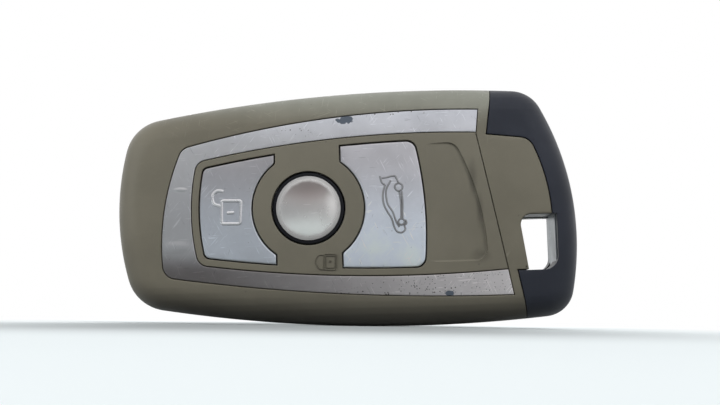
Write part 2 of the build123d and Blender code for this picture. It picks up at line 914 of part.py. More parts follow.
# Coin cell with the groove between its can and its cap
with BuildPart() as coin_cell:
    slab(lambda: draw_circle(-cell_u, -cell_v, cell_radius), cell_back, cell_front)
    fillet(faces().sort_by(front_axis)[0].edges(), cell_edge_rounding)
    with BuildSketch(at_depth(cell_front)) as groove:
        draw_circle(-cell_u, -cell_v, cell_groove_radius + cell_groove_width)
        with Locations((-cell_u, -cell_v)):
            Circle(cell_groove_radius, mode=Mode.SUBTRACT)
    extrude(groove.sketch, amount=-cell_groove_depth, mode=Mode.SUBTRACT)
coin_cell.part.label = "coin_cell"


def draw_strip():
    """Flat contact that lies in front of the cell."""
    draw_box(-cell_u, -cell_v, contact_length, contact_width)


def draw_strip_tab():
    """End of the flat contact, bent through the carrier."""
    with Locations((-cell_u + contact_length / 2, -cell_v)):
        Rectangle(contact_tab_length, contact_width, align=(Align.MAX, Align.CENTER))


with BuildPart() as contact_negative:
    slab(draw_strip, carrier_back, carrier_back + contact_thickness)
    slab(draw_strip_tab, carrier_back, board_back)
contact_negative.part.label = "contact_negative"


def draw_side_contact(growth=0):
    """Upright contact that presses on the can of the cell."""
    with Locations((-cell_u - cell_radius - side_contact_gap + growth, -cell_v)):
        Rectangle(
            side_contact_thickness + 2 * growth, contact_width + 2 * growth, align=(Align.MAX, Align.CENTER)
        )


with BuildPart() as contact_positive:
    slab(draw_side_contact, cell_front - side_contact_drop, board_back)
contact_positive.part.label = "contact_positive"


def draw_carrier():
    """Plate of the carrier, cut short of the channel at its right end."""
    draw_body_outline(carrier_margin)
    draw_right_field(cavity_right_inset + carrier_right_gap)


def draw_leaf_block():
    """Block that holds the fixed end of the latch leaf."""
    with Locations((leaf_block_left_u, leaf_low_v + leaf_thickness / 2)):
        Rectangle(leaf_block_length, 2 * leaf_block_half_width, align=(Align.MIN, Align.CENTER))


# Carrier: plate, wall round the cell, rail over the blade and block for the leaf
leaf_front = -core_front - (core_thickness - leaf_depth) / 2
leaf_back = leaf_front - leaf_depth
with BuildPart() as carrier:
    slab(draw_carrier, carrier_back, carrier_front)
    slab(lambda: draw_circle(-cell_u, -cell_v, well_radius + well_wall), cover_floor, carrier_back)
    slab(lambda: draw_circle(-cell_u, -cell_v, well_radius), cover_floor, carrier_back, Mode.SUBTRACT)
    with BuildSketch(at_depth(carrier_back - rail_height)) as rail:
        with Locations((-rail_left_u, tang_v + tang_width / 2 + rail_gap)):
            Rectangle(rail_left_u + rail_right_u, rail_width, align=Align.MIN)
    extrude(rail.sketch, amount=rail_height)
    slab(draw_leaf_block, leaf_back, carrier_back)
    slab(draw_leaf, leaf_back, leaf_front, Mode.SUBTRACT)
    slab(draw_strip, carrier_back, carrier_back + contact_recess, Mode.SUBTRACT)
    slab(draw_strip_tab, carrier_back, carrier_front, Mode.SUBTRACT)
    slab(lambda: draw_side_contact(side_contact_gap), cover_floor, carrier_front, Mode.SUBTRACT)
    coil_window = coil_width + 2 * window_fit
    slab(lambda: draw_box(-coil_u, 0, coil_window, coil_window), carrier_back, carrier_front, Mode.SUBTRACT)
    slab(
        lambda: draw_box(
            ferrite_u, -ferrite_v, ferrite_length + 2 * window_fit, 2 * (winding_radius + window_fit)
        ),
        carrier_back, carrier_front, Mode.SUBTRACT,
    )
carrier.part.label = "carrier"

with BuildPart() as latch_leaf:
    slab(draw_leaf, leaf_back, leaf_front)
latch_leaf.part.label = "latch_leaf"

# Battery cover with a pry slot and two hooks under the case wall
hook_floor = cavity_back + flange_gap
hook_top = hook_floor + hook_thickness
hook_places = [(cover_right_u, side * hook_spacing / 2 - cell_v) for side in (1, -1)]
with BuildPart() as battery_cover:
    slab(draw_cover, back_depth, cover_floor)
    add(fob_form.part, mode=Mode.INTERSECT)
    with BuildSketch(at_depth(back_depth)) as pry:
        with Locations((cover_left_u, -cell_v)):
            SlotOverall(pry_width, 2 * pry_reach, rotation=90)
    extrude(pry.sketch, amount=pry_depth, mode=Mode.SUBTRACT)
    with BuildSketch(at_depth(cover_floor)) as hook_roots:
        with Locations(*hook_places):
            Rectangle(hook_root, hook_width, align=(Align.MAX, Align.CENTER))
    extrude(hook_roots.sketch, amount=hook_top - cover_floor)
    with BuildSketch(at_depth(hook_floor)) as hook_tips:
        with Locations(*hook_places):
            Rectangle(2 * hook_reach, hook_width)
    extrude(hook_tips.sketch, amount=hook_thickness)
battery_cover.part.label = "battery_cover"

# Release catch: grooved pad, flange inside the case and a lug beside the leaf
catch_top = cavity_back + flange_gap + catch_flange_thickness
with BuildPart() as release_catch:
    slab(
        lambda: draw_box(catch_u, catch_v, catch_length, catch_width, catch_corner_radius),
        back_depth, catch_top,
    )
    slab(
        lambda: draw_catch_box(catch_flange_below, catch_flange_above, catch_flange_side),
        cavity_back + flange_gap, catch_top,
    )
    with BuildSketch(at_depth(catch_top)) as lug:
        with Locations((catch_lug_u, leaf_low_v + leaf_thickness + flange_gap)):
            Rectangle(catch_lug_length, catch_lug_width, align=(Align.CENTER, Align.MIN))
    extrude(lug.sketch, amount=catch_lug_depth)
    with BuildSketch(at_depth(back_depth)) as grooves:
        with Locations((catch_u, catch_v)):
            with GridLocations(0, catch_groove_pitch, 1, catch_groove_count):
                SlotOverall(catch_length - 2 * catch_corner_radius, catch_groove_width)
    extrude(grooves.sketch, amount=catch_groove_depth, mode=Mode.SUBTRACT)
release_catch.part.label = "release_catch"

# Bow core: one metal plate with tang and ring eye, and a deep wall beside the eye
with BuildPart() as bow_core:
    slab(draw_core, core_back, -core_front)
    slab(draw_eye_post, -eye_post_half_depth, eye_post_half_depth)
    slab(draw_eye, core_back, -core_front, Mode.SUBTRACT)
    slab(draw_blade, blade_back, blade_back + blade_thickness, Mode.SUBTRACT)
    slab(lambda: draw_circle(pin_u, tang_v, pin_radius), core_back, -core_front, Mode.SUBTRACT)
    slab(draw_latch_notch, core_back, -core_front, Mode.SUBTRACT)
bow_core.part.label = "bow_core"

with BuildPart() as bow_cap:
    slab(draw_cap_field, cut_bottom, cut_top)
    add(fob_form.part, mode=Mode.INTERSECT)
    slab(draw_core, core_back, -core_front, Mode.SUBTRACT)
    slab(draw_eye_post, -eye_post_half_depth, eye_post_half_depth, Mode.SUBTRACT)
bow_cap.part.label = "bow_cap"

with BuildPart() as key_blade:
    slab(draw_blade, blade_back, blade_back + blade_thickness)
    slab(lambda: draw_circle(pin_u, tang_v, pin_radius), blade_back, -core_front, Mode.SUBTRACT)
    groove_top = blade_back + blade_thickness
    slab(draw_blade_groove, blade_back, blade_back + blade_groove_depth, Mode.SUBTRACT)
    slab(draw_blade_groove, groove_top - blade_groove_depth, groove_top, Mode.SUBTRACT)
    slab(draw_latch_notch, blade_back, groove_top, Mode.SUBTRACT)
key_blade.part.label = "key_blade"

with BuildPart() as blade_pin:
    slab(lambda: draw_circle(pin_u, tang_v, pin_radius), core_back, -core_front)
blade_pin.part.label = "blade_pin"

built = [
    front_case, rear_case, trim, button_panel, lock_button, lock_disc, keypad_mat, circuit_board,
    antenna_coil, ferrite_rod, immobiliser_winding, coin_cell, contact_negative, contact_positive,
    carrier, latch_leaf, battery_cover, release_catch, bow_core, bow_cap, key_blade, blade_pin,
]
pieces = [builder.part for builder in built]
pieces += [unlock_button, boot_button] + switches + plungers + chips

for piece in pieces:
    export_step(piece, "parts/" + piece.label + ".step")
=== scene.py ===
"""Looks of a car key fob with an emergency key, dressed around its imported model.

Outer pieces are modelled smooth in the fob's own axes, in millimetres: u along the fob, v across it
and depth towards its buttons. Each finished piece is then put into the frame, in metres.
"""

from math import asin, atan2, cos, hypot, pi, radians, sin, sqrt, tan

import bmesh
import bpy
from mathutils import Matrix, Vector


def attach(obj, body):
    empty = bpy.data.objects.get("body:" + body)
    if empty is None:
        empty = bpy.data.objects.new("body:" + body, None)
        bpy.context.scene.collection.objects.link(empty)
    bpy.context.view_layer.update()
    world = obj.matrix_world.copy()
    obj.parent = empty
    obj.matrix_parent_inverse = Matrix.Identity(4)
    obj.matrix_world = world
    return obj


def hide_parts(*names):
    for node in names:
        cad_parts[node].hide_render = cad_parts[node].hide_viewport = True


bl_info = {
    "name": "Car key fob looks",
    "version": (1, 0, 0),
    "blender": (4, 5, 0),
    "location": "View3D > Sidebar > Key fob",
    "description": "Models and finishes the pieces of a car key fob",
    "category": "Object",
}

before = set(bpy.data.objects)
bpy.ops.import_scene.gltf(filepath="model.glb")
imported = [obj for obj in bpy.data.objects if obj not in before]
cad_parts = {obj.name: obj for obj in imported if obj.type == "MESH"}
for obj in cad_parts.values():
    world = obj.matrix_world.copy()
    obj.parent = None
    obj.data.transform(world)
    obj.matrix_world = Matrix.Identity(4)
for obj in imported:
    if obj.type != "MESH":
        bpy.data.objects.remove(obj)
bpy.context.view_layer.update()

# Form of the closed fob, in millimetres and degrees
half_length = 42.8
half_height = 22.2
half_depth = 6.8
axis_tilt = 2.6
edge_rounding = 4.6
crown_radius = 240.0
side_radius = 275.0
side_crown_u = 13.4
left_radius = 48.7
right_radius = 53.5
right_drop = 6.2
body_corners = (7.8, 7.8, 5.5, 6.3)
disc_rise = 0.5
wall = 2.0
cavity_front = 4.4
cavity_back = -5.0
cavity_bevel = 2.0
cavity_seam_inset = 2.6
shell_gap = 0.04
seam_gap = 0.12
running_gap = 0.15
overrun = 1.0
far = 130.0

# Bent seam that ends trim and panel
seam_u = 26.8
seam_lean = 11.2
bend_v = 12.95
arm_end_lean = 6.6
bend_u = seam_u - bend_v * tan(radians(seam_lean))

# Lenses of trim and panel: radius, crown u and crown v of the top, bottom and left arcs
trim_arcs = ((187.2, 16.6, 17.7), (379.5, 27.7, 17.0), (46.4, 34.3, 7.1))
trim_corner = 2.5
trim_floor = half_depth - 1.4
panel_arcs = ((209.6, 14.6, 13.4), (258.2, 11.5, 12.85), (40.3, 28.7, 0.4))
panel_corner = 2.2
panel_floor = half_depth - 1.4
panel_ledge = 0.6

# Thumb recess
recess_depth = 0.85
recess_left_u = 14.6
recess_right_u = 25.7
recess_right_v = 10.5
recess_radius = 47.4
recess_top_v = 11.5
recess_bottom_v = 10.7
recess_corner = 2.4
recess_lead = 0.02
recess_soft = 0.36

# Buttons
lock_u = -7.18
ring_radius = 6.65
ring_top = half_depth - 0.3
disc_radius = 5.95
disc_edge = 0.35
disc_seat = 5.9
disc_gap = 0.02
surround_radius = 10.45
surround_half_width = 6.15
key_margin = 1.45
key_gap = 0.2
key_floor = 4.8
boot_right = (71.5, 14.4, 3.5)
unlock_corner = 1.2
boot_corner = 1.9
straight_radius = 20000.0

# Bow cap, ring eye and core
cap_bend = (26.27, 12.9)
cap_upper_lean = 8.6
cap_edge_fall = 0.95
cap_inner = (2.6, -3.6, 35.2)
cap_inner_corner = 3.0
cap_eye_u = 38.6
cap_eye_corner = 2.6
cap_low = (31.1, -12.6)
cap_lower_lean = 11.4
cap_gap = 0.15
cap_beyond = 24.0
eye_top_v = -2.35
eye_left_u = 31.6
eye_lean = 8.4
eye_corner = 1.9
eye_wall_u = 38.4
post_width = 1.5
post_half_depth = 4.8
post_reach = 0.9
core_back = -3.6
core_front = -0.2
core_wall = 2.2
core_web_left = 27.6
core_fit = 0.2
core_web_margin = 0.4
tang_left_u = 13.0
tang_low_v = 8.4
tang_high_v = 17.3

# Back: battery opening, catch and what the rear shell carries
cell_u = -8.0
cell_v = -5.4
cover_left_u = -21.3
cover_right_u = 5.6
cover_half_height = 13.0
cover_corner = 2.4
cover_gap = 0.12
cover_floor = -5.1
pry_half_width = 3.5
pry_reach = 1.3
pry_depth = 0.7
hook_width = 3.0
hook_spacing = 18.2
hook_root = 1.3
hook_reach = 1.2
hook_floor = -4.9
hook_top = -4.0
well_radius = 13.45
boss_radius = 1.6
boss_places = ((-33.4, 13.2), (-33.4, -13.2), (10.6, -17.6))
boss_top = 0.2
catch_u = 17.2
catch_v = 3.0
catch_half_length = 4.2
catch_half_width = 2.9
catch_corner = 1.4
catch_travel = 2.0
catch_side = 1.2
catch_below = 3.2
catch_above = 2.4
catch_floor = -4.9
catch_top = -3.9
catch_grooves = 4
catch_pitch = 1.1
catch_groove_width = 0.5
catch_groove_depth = 0.35
catch_groove_end = 0.98
lug_u = 20.2
lug_v = 7.25
lug_half_length = 1.2
lug_width = 0.8
lug_top = -1.8

# Fineness of the meshes
side_steps = 72
corner_steps = 12
circle_steps = 96
boss_steps = 32
dome_steps = 16
rim_steps = 12
edge_steps = 3
recess_steps = 5
path_steps = 6
halvings = 24
seam_segments = 2
line_segments = 3
wheel_steps = 24
keyhole_steps = 16
strip_width = 1.2
merge_distance = 0.003
most_builds = 9
same_volume = 0.5
smooth_angle = radians(38)
sharp_turn = radians(14)
corner_reach = 2.5
least_mitre = 0.35
millimetre = 0.001

# Stage in metres, degrees and watts: each lamp is a name, a place, a size, a power and a colour
black = (0.0, 0.0, 0.0)
white = (1.0, 1.0, 1.0)
floor_size = 2.4
floor_middle = (0, 0.5, 0)
floor_cuts = 3
lamp_aim = (0, 0, 0.022)
lamps = (
    ("front_lamp", (0.3, -0.72, 0.62), (0.8, 0.5), 6.6, (1.0, 1.0, 0.98)),
    ("back_lamp", (0.05, 0.6, 0.24), (0.5, 0.2), 5.0, white),
    ("left_lamp", (-0.4, -0.22, 0.14), (0.3, 0.3), 1.0, white),
)
camera_place = (0.002187, -0.23975, 0.001112)
camera_rise = 5.29
camera_roll = 0.83
camera_clip = 0.01
sensor_width = 36.0


def length(name, description, default, least=0.02):
    """Length property in millimetres."""
    return bpy.props.FloatProperty(
        name=name, description=description + ", in mm", default=default, min=least)


class FobSizes(bpy.types.PropertyGroup):
    """Sizes of the visible edges and symbols that a user may change."""

    seam_edge: length("Seam edge", "Rounding of edges along the seams", 0.16)
    button_edge: length("Button edge", "Rounding of the buttons' upper edges", 0.28)
    symbol_height: length("Symbol height", "How far the symbols stand out", 0.22)
    padlock_stroke: length("Padlock stroke", "Width of the open padlock's lines", 0.66, 0.05)
    car_stroke: length("Car stroke", "Width of the car's lines", 0.36, 0.05)
    small_stroke: length("Small padlock stroke", "Width of the small padlock's lines", 0.13, 0.05)
    lens: length("Lens", "Focal length of the camera", 63.5, 10)


def colour(name, description, default):
    """Colour property in linear red, green and blue."""
    return bpy.props.FloatVectorProperty(
        name=name, description=description, default=default, subtype="COLOR", size=3, min=0, max=1)


class FobColours(bpy.types.PropertyGroup):
    """Colours of the finishes."""

    case: colour("Case", "Satin moulded plastic of shells and panel", (0.160, 0.149, 0.115))
    trim: colour("Trim", "Satin metal of the trim", (0.58, 0.58, 0.59))
    button: colour("Buttons", "Satin metal of the two side buttons", (0.56, 0.55, 0.56))
    disc: colour("Disc", "Pearly metal of the round disc", (0.61, 0.60, 0.59))
    ring: colour("Ring", "Glossy ring round the disc", (0.004, 0.0045, 0.007))
    cap: colour("Cap", "Dark moulded cap", (0.019, 0.022, 0.032))
    symbol: colour("Symbols", "Raised symbols on the buttons", (0.68, 0.68, 0.69))
    core: colour("Core", "Cast metal of the key's bow", (0.26, 0.285, 0.30))
    chip: colour("Chip", "Bare material under the trim's finish", (0.085, 0.105, 0.135))
    floor: colour("Floor", "Floor under the fob", (0.82, 0.87, 0.89))


def sizes():
    return bpy.context.scene.fob_sizes


def colours():
    return bpy.context.scene.fob_colours


def arc(centre, radius, start, end, steps):
    """Points along an arc, without its last one."""
    sweep = (end - start) / steps
    turns = [start + sweep * step for step in range(steps)]
    return [(centre[0] + radius * cos(turn), centre[1] + radius * sin(turn)) for turn in turns]


def circle_outline(u, v, radius, steps=circle_steps):
    """Full circle about a place on the fob."""
    return arc((u, v), radius, 0, 2 * pi, steps)


def crossing(first, second, radius, inset):
    """Where two discs drawn in by a rounding radius or an inset cross, for an anticlockwise outline."""
    drawn_in = max(radius, inset)
    u, v, near = first[0], first[1], first[2] - drawn_in
    distant = second[2] - drawn_in
    along_u, along_v = second[0] - u, second[1] - v
    gap = hypot(along_u, along_v)
    run = (gap * gap + near * near - distant * distant) / (2 * gap)
    rise = sqrt(near * near - run * run)
    return u + (along_u * run - along_v * rise) / gap, v + (along_v * run + along_u * rise) / gap


def rounded_outline(discs, corners, inset=0.0):
    """Anticlockwise outline inside several discs, rounded between each disc and the next."""
    count = len(discs)
    centres = [crossing(discs[i], discs[(i + 1) % count], corners[i], inset) for i in range(count)]
    points = []
    for i, (u, v, radius) in enumerate(discs):
        before, after = centres[i - 1], centres[i]
        start = atan2(before[1] - v, before[0] - u)
        end = atan2(after[1] - v, after[0] - u)
        end += 2 * pi if end < start else 0
        points += arc((u, v), radius - inset, start, end, side_steps)
        if corners[i] > inset:
            next_u, next_v, _ = discs[(i + 1) % count]
            turn = atan2(after[1] - next_v, after[0] - next_u)
            turn += 2 * pi if turn < end - pi else 0
            turn -= 2 * pi if turn > end + pi else 0
            points += arc(after, corners[i] - inset, end, turn, corner_steps)
    return points


def rounded_polygon(corners):
    """Outline of straight edges; each corner is u, v and the radius of its rounding."""
    points = []
    for i, (u, v, radius) in enumerate(corners):
        if not radius:
            points.append((u, v))
            continue
        here = Vector((u, v))
        back = (Vector(corners[i - 1][:2]) - here).normalized()
        onward = (Vector(corners[(i + 1) % len(corners)][:2]) - here).normalized()
        half = back.angle(onward) / 2
        middle = here + (back + onward).normalized() * radius / sin(half)
        start = here + back * radius / tan(half) - middle
        end = here + onward * radius / tan(half) - middle
        turn = atan2(start.y, start.x)
        sweep = atan2(start.x * end.y - start.y * end.x, start.dot(end))
        points += arc(middle, radius, turn, turn + sweep, corner_steps)
        points.append(tuple(middle + end))
    return points


def box_outline(left, bottom, right, top, corner=0.0):
    """Rectangle with round corners where asked."""
    places = ((right, bottom), (right, top), (left, top), (left, bottom))
    return rounded_polygon([(u, v, corner) for u, v in places])


def grown(points, growth):
    """Anticlockwise outline moved outwards, with mitred corners."""
    moved = []
    for i, (u, v) in enumerate(points):
        before, after = points[i - 1], points[(i + 1) % len(points)]
        first = Vector((v - before[1], before[0] - u)).normalized()
        second = Vector((after[1] - v, u - after[0])).normalized()
        normal = (first + second).normalized()
        reach = growth / max(normal.dot(first), least_mitre)
        moved.append((u + normal.x * reach, v + normal.y * reach))
    return moved


def cleared(points, reach):
    """Outline without the points so near its sharp corners that a rounded edge would overtake them."""
    places = [Vector(point) for point in points]
    sharp = []
    for i, place in enumerate(places):
        before = place - places[i - 1]
        after = places[(i + 1) % len(places)] - place
        if before.length and after.length and before.angle(after) > sharp_turn:
            sharp.append(place)
    kept = []
    for place in places:
        nearest = min(((place - corner).length for corner in sharp), default=far)
        if nearest == 0 or nearest > reach:
            kept.append(tuple(place))
    return kept


def body_outline(inset=0.0):
    """Outline of the body, drawn in by the inset: top, left, bottom and right arcs."""
    discs = (
        (side_crown_u, half_height - side_radius, side_radius),
        (left_radius - half_length, 0.0, left_radius),
        (side_crown_u, side_radius - half_height, side_radius),
        (half_length - right_radius, -right_drop, right_radius),
    )
    return rounded_outline(discs, body_corners, inset)


def lens_discs(arcs):
    """Discs of a lens: top, left and bottom arcs."""
    top, bottom, left = arcs
    return [
        (top[1], top[2] - top[0], top[0]),
        (left[0] - left[1], -left[2], left[0]),
        (bottom[1], bottom[0] - bottom[2], bottom[0]),
    ]


def seam_reach(v, inset):
    """How far right the bent seam is at a place across the fob."""
    lean = arm_end_lean if v > bend_v else seam_lean
    return bend_u - inset + abs(v - bend_v) * tan(radians(lean))


def part_inside(points, inside):
    """Where a closed outline leaves a region and enters it again, and its points inside, in order."""
    count = len(points)
    leave = next(i for i in range(count) if inside[i - 1] and not inside[i])
    enter = next(i for i in range(count) if not inside[i - 1] and inside[i])
    return leave, enter, [points[(enter + step) % count] for step in range((leave - enter) % count)]


def on_side(points, i, share):
    """Place on the side that ends in a point of an outline."""
    return tuple(a + (b - a) * share for a, b in zip(points[i - 1], points[i]))


def left_of_seam(points, inset=0.0):
    """Part of an anticlockwise outline to the left of the bent seam."""
    over = [u - seam_reach(v, inset) for u, v in points]
    leave, enter, kept = part_inside(points, [reach <= 0 for reach in over])

    def on_seam(i):
        return on_side(points, i, over[i - 1] / (over[i - 1] - over[i]))

    result = [on_seam(enter)] + kept + [on_seam(leave)]
    if result[0][1] > bend_v:
        result.append((bend_u - inset, bend_v))
    return result


def trim_outline(inset=0.0):
    """Trim and panel together."""
    lens = rounded_outline(lens_discs(trim_arcs), (trim_corner, trim_corner, 0), inset)
    return left_of_seam(lens, inset)


def panel_outline(inset=0.0):
    """Panel inside the trim."""
    lens = rounded_outline(lens_discs(panel_arcs), (panel_corner, panel_corner, 0), inset)
    return left_of_seam(lens, inset)


def straight_side(u, keep_right):
    """Very large disc whose edge is a straight line across the fob."""
    sign = 1 if keep_right else -1
    return (u + sign * straight_radius, 0.0, straight_radius)


def unlock_outline(growth=0.0):
    """Left button before the round surround is cut out."""
    inset = key_margin - growth
    discs = [(u, v, radius - inset) for u, v, radius in lens_discs(panel_arcs)]
    discs.append(straight_side(lock_u - surround_half_width + growth, False))
    return rounded_outline(discs, (unlock_corner, unlock_corner, 0, 0))


def boot_outline(growth=0.0):
    """Middle button before the round surround is cut out."""
    inset = key_margin - growth
    top, _, bottom = [(u, v, radius - inset) for u, v, radius in lens_discs(panel_arcs)]
    left = straight_side(lock_u + surround_half_width - growth, True)
    right = (boot_right[1] - boot_right[0], -boot_right[2], boot_right[0] + growth)
    return rounded_outline((top, left, bottom, right), (0, 0, boot_corner, boot_corner))


def less_surround(points, growth, right):
    """Replaces what an outline has inside the round surround by the surround's own arc."""
    radius = surround_radius - growth
    outside = [hypot(u - lock_u, v) > radius for u, v in points]
    leave, enter, kept = part_inside(points, outside)

    def turn_at(i):
        share = 0.5
        step = 0.25
        for _ in range(halvings):
            u, v = on_side(points, i, share)
            in_arc = hypot(u - lock_u, v) < radius
            share += step if in_arc != outside[i - 1] else -step
            step /= 2
        u, v = on_side(points, i, share)
        turn = atan2(v, u - lock_u)
        return turn + 2 * pi if turn < 0 and not right else turn

    return kept + arc((lock_u, 0.0), radius, turn_at(leave), turn_at(enter), side_steps)


def unlock_shape(growth=0.0):
    return less_surround(unlock_outline(growth), growth, right=False)


def boot_shape(growth=0.0):
    return less_surround(boot_outline(growth), growth, right=True)


def cap_outline(growth=0.0):
    """Region of the bow cap: all that lies outside its inner edge."""
    centre_u, centre_v, radius = cap_inner
    corner_v = cap_bend[1] - cap_edge_fall
    corner_u = centre_u + sqrt(radius**2 - (corner_v - centre_v) ** 2)
    slope = Vector((corner_u - cap_bend[0], corner_v - cap_bend[1])).normalized()
    normal = Vector((-slope.y, slope.x))
    top_disc = (
        cap_bend[0] - normal.x * straight_radius, cap_bend[1] - normal.y * straight_radius, straight_radius)
    round_centre = crossing(cap_inner, top_disc, cap_inner_corner, 0)
    from_top = atan2(normal.y, normal.x)
    to_side = atan2(round_centre[1] - centre_v, round_centre[0] - centre_u)
    side_end = asin((eye_top_v - centre_v) / radius)
    upper = radians(cap_upper_lean)
    lower = radians(cap_lower_lean)
    top_end = (cap_bend[0] + sin(upper) * cap_beyond, cap_bend[1] + cos(upper) * cap_beyond)
    low_end = (cap_low[0] + sin(lower) * cap_beyond, cap_low[1] - cos(lower) * cap_beyond)
    points = [top_end, cap_bend]
    points += arc(round_centre, cap_inner_corner, from_top, to_side, corner_steps)
    points += arc((centre_u, centre_v), radius, to_side, side_end, side_steps)
    points.append((centre_u + radius * cos(side_end), eye_top_v))
    points.append((cap_eye_u, eye_top_v))
    inner_corner = (cap_eye_u - cap_eye_corner, cap_low[1] + cap_eye_corner)
    points += arc(inner_corner, cap_eye_corner, 0, -pi / 2, corner_steps)
    points.append((inner_corner[0], cap_low[1]))
    right = half_length + cap_beyond
    points += [cap_low, low_end, (right, low_end[1]), (right, top_end[1])]
    return grown(cleared(points, seam_gap * corner_reach), growth) if growth else points


def notch_outline():
    """Notch of the ring eye in the tongues, open towards the cap."""
    bottom = cap_low[1] - cap_gap
    low_left = eye_left_u + (eye_top_v - bottom) * tan(radians(eye_lean))
    return rounded_polygon([
        (eye_left_u, eye_top_v, eye_corner), (low_left, bottom, 0), (half_length, bottom, 0),
        (half_length, eye_top_v, 0)])


def recess_outline(growth=0.0):
    """Thumb recess seen from the front."""
    discs = (
        (0.0, recess_top_v - straight_radius, straight_radius + growth),
        (recess_left_u + straight_radius, 0.0, straight_radius + growth),
        (0.0, straight_radius - recess_bottom_v, straight_radius + growth),
        (recess_right_u - recess_radius, -recess_right_v, recess_radius + growth),
    )
    corner = recess_corner + growth
    return rounded_outline(discs, (0, 0, corner, corner))


def pick(*pieces):
    """Selects only these pieces, with the first one active."""
    bpy.ops.object.select_all(action="DESELECT")
    for piece in pieces:
        piece.select_set(True)
    bpy.context.view_layer.objects.active = pieces[0]


def edit(piece):
    """Goes into edit mode on one piece, with all of it selected."""
    pick(piece)
    bpy.ops.object.mode_set(mode="EDIT")
    bpy.ops.mesh.select_all(action="SELECT")


def done():
    """Leaves edit mode with faces pointing outwards."""
    bpy.ops.mesh.select_all(action="SELECT")
    bpy.ops.mesh.normals_make_consistent(inside=False)
    bpy.ops.object.mode_set(mode="OBJECT")


def block(name, rings):
    """Closed block extruded through rings; each ring is an outline and a depth or a depth formula."""
    bpy.ops.object.select_all(action="DESELECT")
    bpy.ops.mesh.primitive_circle_add(vertices=len(rings[0][0]), radius=1, fill_type="NGON")
    piece = bpy.context.object
    piece.name = name
    edit(piece)
    bpy.ops.mesh.select_mode(type="FACE")
    for number, (points, depth) in enumerate(rings):
        if number:
            bpy.ops.mesh.extrude_region_move()
        mesh = bmesh.from_edit_mesh(piece.data)
        top = next(face for face in mesh.faces if face.select)
        for vertex, (u, v) in zip(top.verts, points):
            vertex.co = (u, v, depth(u, v) if callable(depth) else depth)
        bmesh.update_edit_mesh(piece.data)
    bpy.ops.mesh.select_mode(type="VERT")
    done()
    return piece


def crown_drop(v):
    """How much lower the crowned front is at a place across the fob than at its middle."""
    return crown_radius - sqrt(crown_radius**2 - v * v)


def crown(piece, above, first_cut=-half_height):
    """Cuts a piece into strips along the fob and lowers what lies above a depth to the crowned front."""
    edit(piece)
    bpy.ops.mesh.select_mode(type="FACE")
    bpy.ops.mesh.select_all(action="DESELECT")
    bpy.ops.mesh.select_face_by_sides(number=4, type="GREATER")
    bpy.ops.mesh.quads_convert_to_tris()
    bpy.ops.mesh.select_mode(type="VERT")
    v = first_cut
    while v < half_height:
        bpy.ops.mesh.select_all(action="SELECT")
        bpy.ops.mesh.bisect(plane_co=(0, v, 0), plane_no=(0, 1, 0))
        v += strip_width
    bpy.ops.mesh.select_all(action="SELECT")
    bpy.ops.mesh.dissolve_degenerate(threshold=merge_distance / 5)
    mesh = bmesh.from_edit_mesh(piece.data)
    for vertex in mesh.verts:
        if vertex.co.z > above:
            vertex.co.z -= crown_drop(vertex.co.y)
    bmesh.update_edit_mesh(piece.data)
    done()
    return piece


def back_rings(points, edge, outwards=False):
    """Rings of a rounded edge at the flat back, from the outside in."""
    rings = edge_rings(points, half_depth, edge, outwards)
    return [(outline, -depth) for outline, depth in reversed(rings)]


def edge_rings(points, top, edge, outwards):
    """Rings of a rounded upper edge; a cutter's edge flares outwards and a piece's is drawn in."""
    rings = []
    for step in range(edge_steps + 1):
        turn = pi / 2 * step / edge_steps
        shift = edge * (1 - cos(turn))
        rings.append((grown(points, shift if outwards else -shift), top - edge * (1 - sin(turn))))
    return rings


def crowned_block(name, points, floor, edge, top=half_depth):
    """Piece that ends in the crowned front with a rounded edge."""
    points = cleared(points, edge * corner_reach)
    rings = [(points, floor)] + edge_rings(points, top, edge, outwards=False)
    return crown(block(name, rings), floor + millimetre)


def crowned_cutter(points, floor, edge):
    """Cutter that leaves a rounded edge where it meets the crowned front."""
    points = cleared(points, edge * corner_reach)
    rings = [(points, floor)] + edge_rings(points, half_depth, edge, outwards=True)
    rings.append((rings[-1][0], half_depth + overrun))
    return crown(block("cutter", rings), floor + millimetre)


def cutter(points, low, high):
    """Plain cutter between two depths."""
    return block("cutter", [(points, low), (points, high)])


def combine(piece, tool, operation="DIFFERENCE"):
    """Cuts a piece with a tool, or keeps or adds what the tool holds, and removes the tool."""
    pick(piece)
    bpy.ops.object.modifier_add(type="BOOLEAN")
    modifier = piece.modifiers[-1]
    modifier.operation = operation
    modifier.solver = "EXACT"
    modifier.object = tool
    bpy.ops.object.modifier_apply(modifier=modifier.name)
    bpy.data.objects.remove(tool)
    if not piece.data.polygons:
        raise RuntimeError(piece.name + " has no faces left")
    return piece


def volume_of(piece):
    """Volume inside a piece."""
    mesh = bmesh.new()
    mesh.from_mesh(piece.data)
    volume = mesh.calc_volume()
    mesh.free()
    return volume


def agreed(model):
    """Models a piece until two results have the same volume, as the solver misses a patch once in a while."""
    volumes = []
    while len(volumes) < most_builds:
        piece = model()
        volume = volume_of(piece)
        if any(abs(volume - earlier) < same_volume for earlier in volumes):
            return piece
        volumes.append(volume)
        bpy.data.objects.remove(piece)
    raise RuntimeError("No two results of a piece agree")


def fob_form():
    """Whole form of the closed fob with rounded rims and crowned front."""
    rim = []
    for step in range(rim_steps + 1):
        turn = pi / 2 * step / rim_steps
        outline = body_outline(edge_rounding * (1 - sin(turn)))
        rim.append((outline, half_depth - edge_rounding * (1 - cos(turn))))
    return crown(block("form", [(points, -depth) for points, depth in rim] + rim[::-1]), 0)


def form_copy(name):
    """Copy of the whole form with a mesh of its own."""
    form = bpy.data.objects["form"]
    copy = form.copy()
    copy.data = form.data.copy()
    copy.name = name
    bpy.context.scene.collection.objects.link(copy)
    return copy


